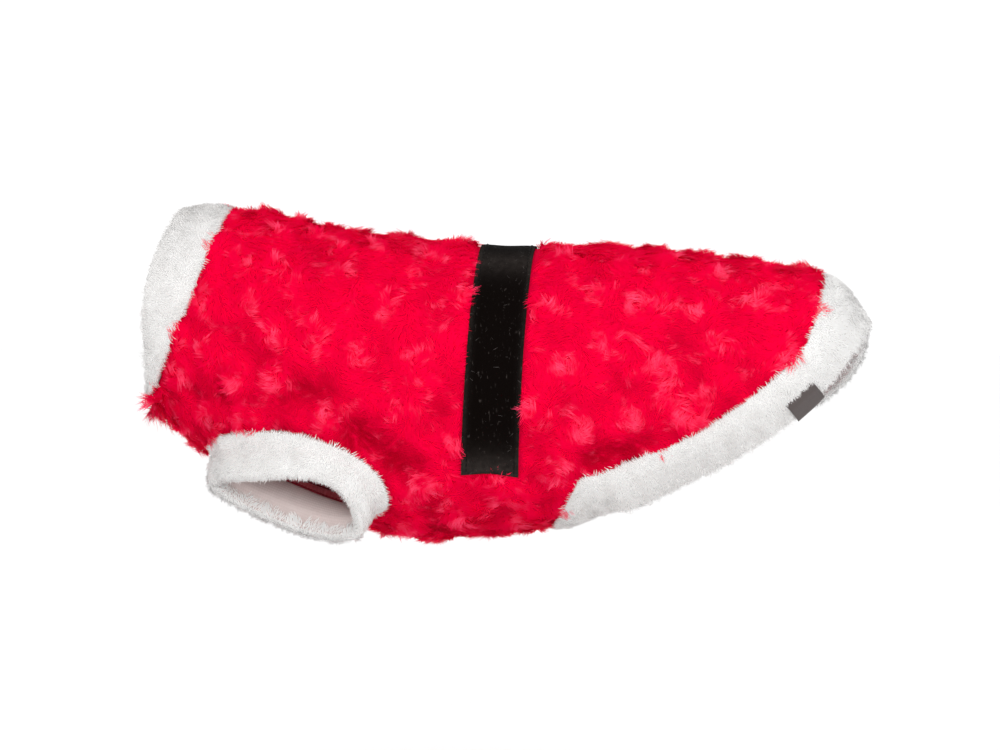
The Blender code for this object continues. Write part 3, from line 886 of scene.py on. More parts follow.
@dataclass(frozen=True)
class PileFinish:
    """The finish of one colour of plush: its fibres, and the dense ground that they grow from."""

    name: str
    root: tuple[float, float, float, float]
    body: tuple[float, float, float, float]
    # The colour at a tuft's tips is a painted highlight, and the colour in the pile's hollows is painted
    # shade.
    tip: tuple[float, float, float, float]
    hollow: tuple[float, float, float, float]
    ground: tuple[float, float, float, float]
    highlight_reach: float
    rarity: float
    cloth_share: float
    roughness: float
    gloss: float

    def fibres(self, groups: ShaderGroups) -> bpy.types.Material:
        """The material of the locks, whose thin fibres also let light through from behind."""
        material, hand, shader = new_material(self.name + "_fibres")
        colour = place_group(hand, groups.fibre, Root=self.root, Body=self.body, Tip=self.tip,
                             Hollow=self.hollow, Patch_Size=11 * MM, Tip_Reach=self.highlight_reach,
                             Rarity=self.rarity)
        hand.join(colour.outputs["Colour"], shader.inputs["Base Color"])
        normal = place_group(hand, groups.soft_normal, Cloth_Share=self.cloth_share)
        hand.join(normal.outputs["Normal"], shader.inputs["Normal"])
        shader.inputs["Roughness"].default_value = self.roughness
        shader.inputs["Specular IOR Level"].default_value = self.gloss
        through = hand.add("ShaderNodeBsdfTranslucent")
        hand.join(colour.outputs["Colour"], through.inputs["Color"])
        hand.join(normal.outputs["Through Normal"], through.inputs["Normal"])
        both = hand.add("ShaderNodeAddShader")
        hand.join(shader.outputs[0], both.inputs[0])
        hand.join(through.outputs[0], both.inputs[1])
        hand.join(both.outputs[0], material.node_tree.nodes["Material Output"].inputs["Surface"])
        return material

    def under(self) -> bpy.types.Material:
        """The material of the dense ground between the locks."""
        material, hand, shader = new_material(self.name + "_ground")
        patches = noise_at(hand, 5 * MM, 4.0)
        hand.join(hand.blend(patches, self.ground, self.body), shader.inputs["Base Color"])
        bumped(hand, shader, noise_at(hand, 0.9 * MM, 3.0), 0.9 * MM)
        shader.inputs["Roughness"].default_value = 0.85
        shader.inputs["Specular IOR Level"].default_value = self.gloss
        return material


# The red's slightly darker root and ground colours are painted shade among the locks.
RED_PLUSH = PileFinish(
    name="red_plush",
    root=(0.60, 0.0, 0.026, 1),
    body=(0.615, 0.0, 0.035, 1),
    tip=(0.80, 0.066, 0.155, 1),
    hollow=(0.32, 0.0, 0.011, 1),
    ground=(0.59, 0.0, 0.024, 1),
    highlight_reach=1.0,
    rarity=0.92,
    cloth_share=0.86,
    roughness=0.6,
    gloss=0.01,
)
WHITE_PLUSH = PileFinish(
    name="white_plush",
    root=(0.61, 0.605, 0.60, 1),
    body=(0.605, 0.60, 0.594, 1),
    tip=(0.61, 0.606, 0.602, 1),
    hollow=(0.515, 0.503, 0.495, 1),
    ground=(0.68, 0.675, 0.67, 1),
    highlight_reach=0.8,
    rarity=0.9,
    cloth_share=1.0,
    roughness=0.8,
    gloss=0.05,
)


@dataclass(frozen=True)
class BackingFinish:
    """The knitted wrong side of the plush."""

    name: str
    colour: tuple[float, float, float, float]
    hollow: tuple[float, float, float, float]
    relief: float = 0.25 * MM

    def material(self, groups: ShaderGroups) -> bpy.types.Material:
        """The material of the backing."""
        material, hand, shader = new_material(self.name)
        knit = place_group(hand, groups.knit, Ribs_per_metre=620.0)
        patches = noise_at(hand, 14 * MM)
        hand.join(hand.blend(patches, self.hollow, self.colour), shader.inputs["Base Color"])
        bumped(hand, shader, knit.outputs["Height"], self.relief)
        shader.inputs["Roughness"].default_value = 0.88
        return material


@dataclass(frozen=True)
class VelvetFinish:
    """The belt's black velvet: a short dark nap with a painted grey sheen and a little lint in it."""

    colour: tuple[float, float, float, float] = (0.0022, 0.0012, 0.0009, 1)
    # This colour serves both the lint specks and the painted sheen.
    lint: tuple[float, float, float, float] = (0.040, 0.033, 0.030, 1)

    def material(self) -> bpy.types.Material:
        """The material of the belt's face."""
        material, hand, shader = new_material("black_velvet_nap")
        streaks = noise_at(hand, 1.3 * MM, 4.0, (1.0, 1.0, 0.35))
        specks = hand.add("ShaderNodeMapRange", interpolation_type="SMOOTHSTEP")
        hand.join(streaks, specks.inputs["Value"])
        specks.inputs["From Min"].default_value = 0.62
        specks.inputs["From Max"].default_value = 0.80
        # Painted sheen: the lint colour laid on in patches near the belt's ends, long edges and spine.
        worn = hand.add("ShaderNodeAttribute", attribute_name="worn")
        patchy_sheen = hand.maths("MULTIPLY", worn.outputs["Fac"], noise_at(hand, 3 * MM, 4.0))
        share = hand.maths("ADD", specks.outputs[0], patchy_sheen)
        share.node.use_clamp = True
        hand.join(hand.blend(share, self.colour, self.lint), shader.inputs["Base Color"])
        bumped(hand, shader, noise_at(hand, 0.7 * MM, 3.0), 0.5 * MM)
        shader.inputs["Roughness"].default_value = 0.75
        shader.inputs["Specular IOR Level"].default_value = 0.02
        return material


@dataclass(frozen=True)
class RibbonFinish:
    """The blank woven label: fine warp and weft in a dull taupe grey."""

    colour: tuple[float, float, float, float] = (0.05, 0.036, 0.035, 1)
    border: tuple[float, float, float, float] = (0.085, 0.068, 0.065, 1)

    def material(self) -> bpy.types.Material:
        """The material of the label."""
        material, hand, shader = new_material("label_ribbon_weave")
        place = hand.add("ShaderNodeUVMap", uv_map="cloth")
        parts = hand.add("ShaderNodeSeparateXYZ")
        hand.join(place.outputs[0], parts.inputs[0])
        waves = [
            hand.maths("SINE", hand.maths("MULTIPLY", parts.outputs[axis], 2 * math.pi / (0.45 * MM)))
            for axis in ("X", "Y")
        ]
        weave = hand.maths("MULTIPLY", waves[0], waves[1])
        tone = hand.maths("MULTIPLY_ADD", weave, 0.3)
        tone.node.inputs[2].default_value = 0.5
        hand.join(hand.blend(tone, self.colour, self.border), shader.inputs["Base Color"])
        bumped(hand, shader, weave, 0.08 * MM)
        shader.inputs["Roughness"].default_value = 0.55
        shader.inputs["Sheen Weight"].default_value = 0.06
        return material


@dataclass(frozen=True)
class ThreadFinish:
    """Sewing thread: twisted, with a dull gloss."""

    name: str
    colour: tuple[float, float, float, float]
    gloss: float = 0.4

    def material(self) -> bpy.types.Material:
        """The material of the stitches."""
        material, hand, shader = new_material(self.name)
        twist = noise_at(hand, 0.4 * MM, 2.0)
        dark = tuple(part * 0.6 for part in self.colour[:3]) + (1.0,)
        hand.join(hand.blend(twist, dark, self.colour), shader.inputs["Base Color"])
        shader.inputs["Roughness"].default_value = 0.55
        shader.inputs["Specular IOR Level"].default_value = self.gloss
        return material


@dataclass(frozen=True)
class LockShape:
    """A small lock of pile: a few thin bent blades that lean together, one unit long."""

    blades: int
    width: float
    spread: float
    height: float
    gather: float
    variants: int = 5

    def mesh(self, name: str, seed: int) -> bpy.types.Mesh:
        """One variant of the lock, leaning along +X from its root with +Z out of the cloth."""
        chance = np.random.default_rng(seed)
        points, faces, tips = [], [], []
        for blade in range(self.blades):
            turn = 2 * math.pi * (blade + chance.uniform(-0.3, 0.3)) / self.blades
            radius = self.spread * math.sqrt(chance.uniform(0.1, 1.0))
            root = np.array([math.cos(turn), math.sin(turn), 0]) * radius
            heading = chance.normal(0, 0.22)
            length = chance.uniform(0.72, 1.05)
            height = self.height * chance.uniform(0.7, 1.3)
            roll = chance.normal(0, 0.3)
            across = np.array([0, math.cos(roll), math.sin(roll)]) * self.width / 2
            bend = chance.normal(0, 0.1)

            def along(share: float) -> np.ndarray:
                """The middle of the blade at a share of its length."""
                sideways = root[1] * (1 - self.gather * share) + bend * share * share
                reach = length * share
                return np.array([
                    root[0] + reach * math.cos(heading),
                    sideways + reach * math.sin(heading) * 0.6,
                    height * (1 - (1 - share) ** 2),
                ])

            start = len(points)
            points += [along(0) - across, along(0) + across]
            points += [along(0.5) - across * 0.8, along(0.5) + across * 0.8, along(1.0)]
            faces += [(start, start + 2, start + 3, start + 1), (start + 2, start + 4, start + 3)]
            tips += [0, 0, 0.5, 0.5, 1]
        mesh = bpy.data.meshes.new(name)
        mesh.from_pydata([tuple(point) for point in points], [], faces)
        mesh.shade_smooth()
        attribute = mesh.attributes.new("tip", "FLOAT", "POINT")
        attribute.data.foreach_set("value", np.array(tips, np.float32))
        return mesh

    def collection(self, name: str) -> bpy.types.Collection:
        """The lock's variants, kept together for the tree to pick from."""
        made = bpy.data.collections.new(name)
        bpy.context.scene.collection.children.link(made)
        for index in range(self.variants):
            label = f"{name}_{index}"
            made.objects.link(bpy.data.objects.new(label, self.mesh(label, 40 + index)))
        return made


@dataclass(frozen=True)
class PileStyle:
    """How thickly a pile grows, and how unevenly."""

    name: str
    lock: LockShape
    spacing: float
    density: float
    length_change: float
    comb_change: float
    lean_change: float


class PileGrower:
    """Grows pile on a skin with Geometry Nodes: locks on its faces, combed by its attributes."""

    def __init__(self) -> None:
        """Builds the tree once."""
        self.tree = self.build()
        self.collections: dict[str, bpy.types.Collection] = {}

    @staticmethod
    def build() -> bpy.types.NodeTree:
        """The tree. A skin gives comb, pile, lean, heart and thickness as named attributes."""
        hand, given, result = new_group("grow_pile", "GeometryNodeTree", (
            Socket("Skin", "NodeSocketGeometry"),
            Socket("Locks", "NodeSocketCollection"),
            Socket("Fibres", "NodeSocketMaterial"),
            Socket("Spacing", "NodeSocketFloat", 0.002),
            Socket("Density", "NodeSocketFloat", 200000.0),
            Socket("Length Change", "NodeSocketFloat", 0.2),
            Socket("Comb Change", "NodeSocketFloat", 0.4),
            Socket("Lean Change", "NodeSocketFloat", 0.2),
            Socket("Seed", "NodeSocketInt", 1),
            Socket("Pile", "NodeSocketGeometry", output=True),
        ))

        def read(name: str, kind: str = "FLOAT") -> bpy.types.NodeSocket:
            """The value that the skin carries under a name."""
            node = hand.add("GeometryNodeInputNamedAttribute", data_type=kind)
            node.inputs["Name"].default_value = name
            return node.outputs["Attribute"]

        def chance(kind: str, low: object, high: object, extra: int) -> bpy.types.NodeSocket:
            """A random value for each tuft, from its own seed."""
            node = hand.add("FunctionNodeRandomValue", data_type=kind)
            ports = {"FLOAT_VECTOR": (0, 1, 0), "FLOAT": (2, 3, 1)}[kind]
            for port, value in zip(ports, (low, high)):
                if isinstance(value, bpy.types.NodeSocket):
                    hand.join(value, node.inputs[port])
                else:
                    node.inputs[port].default_value = value
            hand.join(hand.maths("ADD", given.outputs["Seed"], float(extra)), node.inputs["Seed"])
            return node.outputs[ports[2]]

        scatter = hand.add("GeometryNodeDistributePointsOnFaces", distribute_method="POISSON")
        hand.join(given.outputs["Skin"], scatter.inputs["Mesh"])
        hand.join(given.outputs["Spacing"], scatter.inputs["Distance Min"])
        hand.join(given.outputs["Density"], scatter.inputs["Density Max"])
        hand.join(read("thickness"), scatter.inputs["Density Factor"])
        hand.join(given.outputs["Seed"], scatter.inputs["Seed"])

        def keep(geometry: bpy.types.NodeSocket, name: str, kind: str,
                 value: bpy.types.NodeSocket) -> bpy.types.NodeSocket:
            """The geometry with a value stored on its points."""
            node = hand.add("GeometryNodeStoreNamedAttribute", data_type=kind, domain="POINT")
            node.inputs["Name"].default_value = name
            hand.join(geometry, node.inputs["Geometry"])
            hand.join(value, node.inputs["Value"])
            return node.outputs["Geometry"]

        points = keep(scatter.outputs["Points"], "cloth_normal", "FLOAT_VECTOR", scatter.outputs["Normal"])
        points = keep(points, "tone", "FLOAT", chance("FLOAT", 0.0, 1.0, 3))
        wander = chance("FLOAT_VECTOR", (-1.0,) * 3, (1.0,) * 3, 11)
        comb = hand.vectors("ADD", read("comb", "FLOAT_VECTOR"),
                            hand.vectors("SCALE", wander, scale=given.outputs["Comb Change"]))
        facing = hand.add("FunctionNodeAxesToRotation", primary_axis="Z", secondary_axis="X")
        hand.join(read("cloth_normal", "FLOAT_VECTOR"), facing.inputs[0])
        hand.join(comb, facing.inputs[1])
        swing = chance("FLOAT", hand.maths("MULTIPLY", given.outputs["Lean Change"], -1.0),
                       given.outputs["Lean Change"], 17)
        lean = hand.add("FunctionNodeEulerToRotation")
        tilt = hand.add("ShaderNodeCombineXYZ")
        hand.join(hand.maths("ADD", read("lean"), swing), tilt.inputs["Y"])
        hand.join(tilt.outputs[0], lean.inputs[0])
        turned = hand.add("FunctionNodeRotateRotation", rotation_space="LOCAL")
        hand.join(facing.outputs[0], turned.inputs[0])
        hand.join(lean.outputs[0], turned.inputs[1])
        shorter = hand.maths("SUBTRACT", 1.0, given.outputs["Length Change"])
        longer = hand.maths("ADD", 1.0, given.outputs["Length Change"])
        size = hand.maths("MULTIPLY", read("pile"), chance("FLOAT", shorter, longer, 23))
        shapes = hand.add("GeometryNodeCollectionInfo")
        shapes.inputs["Separate Children"].default_value = True
        shapes.inputs["Reset Children"].default_value = True
        hand.join(given.outputs["Locks"], shapes.inputs[0])
        plant = hand.add("GeometryNodeInstanceOnPoints")
        plant.inputs["Pick Instance"].default_value = True
        hand.join(points, plant.inputs["Points"])
        hand.join(shapes.outputs[0], plant.inputs["Instance"])
        hand.join(turned.outputs[0], plant.inputs["Rotation"])
        hand.join(size, plant.inputs["Scale"])
        real = hand.add("GeometryNodeRealizeInstances")
        hand.join(plant.outputs[0], real.inputs[0])
        geometry = real.outputs[0]
        for name in ("comb", "pile", "lean", "thickness"):
            drop = hand.add("GeometryNodeRemoveAttribute")
            drop.inputs["Name"].default_value = name
            hand.join(geometry, drop.inputs["Geometry"])
            geometry = drop.outputs["Geometry"]
        paint = hand.add("GeometryNodeSetMaterial")
        hand.join(geometry, paint.inputs["Geometry"])
        hand.join(given.outputs["Fibres"], paint.inputs["Material"])
        hand.join(paint.outputs[0], result.inputs["Pile"])
        return hand.tree

    def grow(self, skin: bpy.types.Object, name: str, style: PileStyle, fibres: bpy.types.Material,
             seed: int) -> bpy.types.Object:
        """Grows the pile of one skin, and removes the skin.

        Args:
            skin: an open mesh with the attributes that the tree reads.
            name: the new piece's name.
            style: how the pile grows.
            fibres: its material.
            seed: a fixed seed.

        Returns:
            The pile as a plain mesh object.
        """
        if style.name not in self.collections:
            self.collections[style.name] = style.lock.collection("lock_" + style.name)
        modifier = skin.modifiers.new("grow", "NODES")
        modifier.node_group = self.tree
        inputs = {item.name: item.identifier for item in self.tree.interface.items_tree
                  if item.in_out == "INPUT"}
        for key, value in (
            ("Locks", self.collections[style.name]),
            ("Fibres", fibres),
            ("Spacing", style.spacing),
            ("Density", style.density),
            ("Length Change", style.length_change),
            ("Comb Change", style.comb_change),
            ("Lean Change", style.lean_change),
            ("Seed", seed),
        ):
            modifier[inputs[key]] = value
        piece = plain_copy(skin, name)
        log.info("%s: %d triangles", name, triangle_count(piece))
        return piece

    def clear(self) -> None:
        """Removes the lock shapes once every pile has grown."""
        for collection in self.collections.values():
            for obj in list(collection.objects):
                bpy.data.objects.remove(obj)
            bpy.data.collections.remove(collection)


def plain_copy(source: bpy.types.Object, name: str) -> bpy.types.Object:
    """The evaluated object as a plain mesh object with a new name; the source is removed."""
    graph = bpy.context.evaluated_depsgraph_get()
    mesh = bpy.data.meshes.new_from_object(source.evaluated_get(graph), depsgraph=graph)
    bpy.data.objects.remove(source)
    mesh.name = name
    piece = bpy.data.objects.new(name, mesh)
    bpy.context.scene.collection.objects.link(piece)
    return piece


def triangle_count(obj: bpy.types.Object) -> int:
    """How many triangles an object's mesh has."""
    obj.data.calc_loop_triangles()
    return len(obj.data.loop_triangles)


RED_PILE = PileStyle(
    name="red",
    lock=LockShape(blades=9, width=0.048, spread=0.25, height=0.20, gather=0.5),
    spacing=1.38 * MM,
    density=380000.0,
    length_change=0.25,
    comb_change=0.35,
    lean_change=0.07,
)
WHITE_PILE = PileStyle(
    name="white",
    lock=LockShape(blades=6, width=0.125, spread=0.6, height=0.36, gather=0.1),
    spacing=1.15 * MM,
    density=600000.0,
    length_change=0.2,
    comb_change=0.5,
    lean_change=0.05,
)
LINT = PileStyle(
    name="lint",
    lock=LockShape(blades=1, width=0.05, spread=0.05, height=0.04, gather=0.0, variants=7),
    spacing=2.0 * MM,
    density=90000.0,
    length_change=0.5,
    comb_change=6.0,
    lean_change=0.05,
)


class Sewing:
    """Sews lines with Geometry Nodes: an overlocked ridge, or a row of running stitches."""

    ring_radius: float = 1.25 * MM
    ring_slant: float = 0.5
    thread_radius: float = 0.24 * MM

    def __init__(self) -> None:
        """Builds the tree, and the two kinds of stitch that it repeats."""
        self.tree = self.build()
        turns = np.linspace(0, 2 * math.pi, 9)[:-1]
        slant = np.sin(turns) * self.ring_radius * math.tan(self.ring_slant)
        ring = np.stack([np.cos(turns) * self.ring_radius, np.sin(turns) * self.ring_radius, slant], -1)
        self.overlock = self.stitch("overlock_stitch", ring, True)
        run = np.linspace(-1, 1, 5)
        dash = np.stack([0 * run, (1 - run ** 2) * 0.3 * MM, run * 1.1 * MM], -1)
        self.running = self.stitch("running_stitch", dash, False)

    def stitch(self, name: str, line: np.ndarray, closed: bool) -> bpy.types.Object:
        """One stitch of round thread along a line."""
        ahead, behind = np.roll(line, -1, 0), np.roll(line, 1, 0)
        along = unit(ahead - behind if closed else np.gradient(line, axis=0))
        side = unit(np.cross(along, (0.3, 0.2, 0.9) if closed else (1.0, 0.0, 0.0)))
        up = np.cross(along, side)
        turns = np.linspace(0, 2 * math.pi, 5)[:-1, None]
        points = [line + (side * np.cos(turn) + up * np.sin(turn)) * self.thread_radius for turn in turns]
        return MeshMaker.make(name, np.stack(points, 1), Faces.grid(len(line), len(turns), closed, True))

    @staticmethod
    def build() -> bpy.types.NodeTree:
        """The tree: a round core along the line, and stitches set along it."""
        hand, given, result = new_group("sewn_line", "GeometryNodeTree", (
            Socket("Line", "NodeSocketGeometry"),
            Socket("Stitch", "NodeSocketObject"),
            Socket("Step", "NodeSocketFloat", 0.002),
            Socket("Core Radius", "NodeSocketFloat", 0.001),
            Socket("Core", "NodeSocketMaterial"),
            Socket("Thread", "NodeSocketMaterial"),
            Socket("Unevenness", "NodeSocketFloat", 0.1),
            Socket("Seed", "NodeSocketInt", 1),
            Socket("Sewn", "NodeSocketGeometry", output=True),
        ))

        def painted(geometry: bpy.types.NodeSocket, material: str) -> bpy.types.NodeSocket:
            """The geometry in one of the tree's materials."""
            node = hand.add("GeometryNodeSetMaterial")
            hand.join(geometry, node.inputs["Geometry"])
            hand.join(given.outputs[material], node.inputs["Material"])
            return node.outputs[0]

        curve = hand.add("GeometryNodeMeshToCurve")
        hand.join(given.outputs["Line"], curve.inputs["Mesh"])
        profile = hand.add("GeometryNodeCurvePrimitiveCircle")
        profile.inputs["Resolution"].default_value = 7
        hand.join(given.outputs["Core Radius"], profile.inputs["Radius"])
        core = hand.add("GeometryNodeCurveToMesh")
        core.inputs["Fill Caps"].default_value = True
        hand.join(curve.outputs[0], core.inputs["Curve"])
        hand.join(profile.outputs[0], core.inputs["Profile Curve"])
        spots = hand.add("GeometryNodeCurveToPoints", mode="LENGTH")
        hand.join(curve.outputs[0], spots.inputs["Curve"])
        hand.join(given.outputs["Step"], spots.inputs["Length"])
        shape = hand.add("GeometryNodeObjectInfo")
        hand.join(given.outputs["Stitch"], shape.inputs["Object"])
        wobble = hand.add("FunctionNodeRandomValue", data_type="FLOAT_VECTOR")
        spread = hand.vectors("SCALE", (1.0, 1.0, 1.0), scale=given.outputs["Unevenness"])
        hand.join(hand.vectors("SCALE", spread, scale=-1.0), wobble.inputs[0])
        hand.join(spread, wobble.inputs[1])
        hand.join(given.outputs["Seed"], wobble.inputs["Seed"])
        tilt = hand.add("FunctionNodeEulerToRotation")
        hand.join(wobble.outputs[0], tilt.inputs[0])
        turned = hand.add("FunctionNodeRotateRotation", rotation_space="LOCAL")
        hand.join(spots.outputs["Rotation"], turned.inputs[0])
        hand.join(tilt.outputs[0], turned.inputs[1])
        plant = hand.add("GeometryNodeInstanceOnPoints")
        hand.join(spots.outputs["Points"], plant.inputs["Points"])
        hand.join(shape.outputs["Geometry"], plant.inputs["Instance"])
        hand.join(turned.outputs[0], plant.inputs["Rotation"])
        both = hand.add("GeometryNodeJoinGeometry")
        hand.join(painted(core.outputs[0], "Core"), both.inputs[0])
        hand.join(painted(plant.outputs[0], "Thread"), both.inputs[0])
        real = hand.add("GeometryNodeRealizeInstances")
        hand.join(both.outputs[0], real.inputs[0])
        smooth = hand.add("GeometryNodeSetShadeSmooth")
        hand.join(real.outputs[0], smooth.inputs["Geometry"])
        hand.join(smooth.outputs[0], result.inputs["Sewn"])
        return hand.tree

    def sew(self, name: str, points: np.ndarray, closed: bool, stitch: bpy.types.Object, step: float,
            core_radius: float, core: bpy.types.Material, thread: bpy.types.Material) -> bpy.types.Object:
        """Sews one line.

        Args:
            name: the new piece's name.
            points: the line's points in metres.
            closed: whether the line goes once round.
            stitch: the stitch that repeats.
            step: the distance between stitches, in metres.
            core_radius: the radius of what the stitches go round, in metres.
            core: its material.
            thread: the stitches' material.

        Returns:
            The sewing as a plain mesh object.
        """
        count = len(points)
        ends = [(index, (index + 1) % count) for index in range(count if closed else count - 1)]
        mesh = bpy.data.meshes.new(name + "_line")
        mesh.from_pydata(points.tolist(), ends, [])
        line = bpy.data.objects.new(name + "_line", mesh)
        bpy.context.scene.collection.objects.link(line)
        modifier = line.modifiers.new("sew", "NODES")
        modifier.node_group = self.tree
        inputs = {item.name: item.identifier for item in self.tree.interface.items_tree
                  if item.in_out == "INPUT"}
        for key, value in (("Stitch", stitch), ("Step", step), ("Core Radius", core_radius), ("Core", core),
                           ("Thread", thread), ("Unevenness", 0.12), ("Seed", count)):
            modifier[inputs[key]] = value
        piece = plain_copy(line, name)
        log.info("%s: %d triangles", name, triangle_count(piece))
        return piece

    def clear(self) -> None:
        """Removes the two stitches once every line is sewn."""
        bpy.data.objects.remove(self.overlock)
        bpy.data.objects.remove(self.running)


@dataclass(frozen=True)
class InnerSeams:
    """The overlocked ridges that every seam leaves on the coat's inside."""

    form: CoatForm
    cut: CutPlan
    depth: float = 7.3 * MM
    core_radius: float = 1.1 * MM
    step: float = 1.9 * MM

    def line(self, rows: np.ndarray, closed: bool) -> np.ndarray:
        """A seam's smooth line on the inside of the cloth."""
        points = self.form.cloth(rows[:, 0], rows[:, 1])
        normal = self.form.cloth_frame(rows[:, 0], rows[:, 1])[2]
        return resampled(points - normal * self.depth, 3, 0, closed)

    def belly(self, side: Side, start: float, end: float) -> np.ndarray:
        """The rows of a stretch of the seam between the back and the belly panel."""
        place = np.linspace(start, end, 12)
        angle = side.value * self.cut.back_edge(place, np.full(place.shape, side.value))
        return np.stack([self.cut.neck_place(place, angle), angle], -1)

    def build(self, sewing: Sewing, core: bpy.types.Material, thread: bpy.types.Material) -> list:
        """Sews every ridge."""
        legs = self.cut.leg_places(1)
        lines = {"neck_overlock": (self.cut.neck_seam(), True), "hem_overlock": (self.cut.hem_seam(), True)}
        for side in Side:
            name = side.name.lower()
            lines["leg_overlock_" + name] = (self.cut.leg_seam(side), True)
            lines["chest_overlock_" + name] = (self.belly(side, 0.0, float(legs[0])), False)
            lines["belly_overlock_" + name] = (self.belly(side, float(legs[-1]), self.cut.belly_hem), False)
        made = []
        for name, (rows, closed) in lines.items():
            made.append(sewing.sew(name, self.line(rows, closed), closed, sewing.overlock, self.step,
                                   self.core_radius, core, thread))
        return made


@dataclass
class Workshop:
    """What every piece is made with: the form, the cut, the pile grower and the finishes."""

    form: CoatForm = field(default_factory=CoatForm)

    def __post_init__(self) -> None:
        """Works out the cut and builds the shared trees and materials."""
        self.cut = CutPlan(self.form)
        self.rosettes = Rosettes(self.form)
        self.grower = PileGrower()
        self.groups = ShaderGroups()
        self.red_fibres = RED_PLUSH.fibres(self.groups)
        self.red_ground = RED_PLUSH.under()
        self.white_fibres = WHITE_PLUSH.fibres(self.groups)
        self.white_ground = WHITE_PLUSH.under()
        red_backing = BackingFinish("red_backing", (0.72, 0.20, 0.24, 1), (0.55, 0.10, 0.13, 1))
        self.red_backing = red_backing.material(self.groups)
        self.white_backing = BackingFinish("white_backing", (0.70, 0.68, 0.665, 1), (0.64, 0.61, 0.60, 1),
                                           0.07 * MM).material(self.groups)
        # The cuffs' inside uses a darker, pinker copy of the white backing: painted shade of the enclosed
        # inside.
        self.cuff_backing = BackingFinish("cuff_backing", (0.54, 0.46, 0.445, 1), (0.47, 0.385, 0.37, 1),
                                          0.07 * MM).material(self.groups)
        self.velvet = VelvetFinish().material()
        self.lint = ThreadFinish("grey_lint", (0.075, 0.062, 0.058, 1)).material()
        self.ribbon = RibbonFinish().material()
        self.red_thread = ThreadFinish("red_thread", (0.42, 0.03, 0.05, 1)).material()
        self.seam_core = ThreadFinish("raw_seam_edge", (0.26, 0.004, 0.018, 1)).material()
        self.black_thread = ThreadFinish("black_thread", (0.005, 0.0042, 0.0038, 1), 0.04).material()
        self.sewing = Sewing()


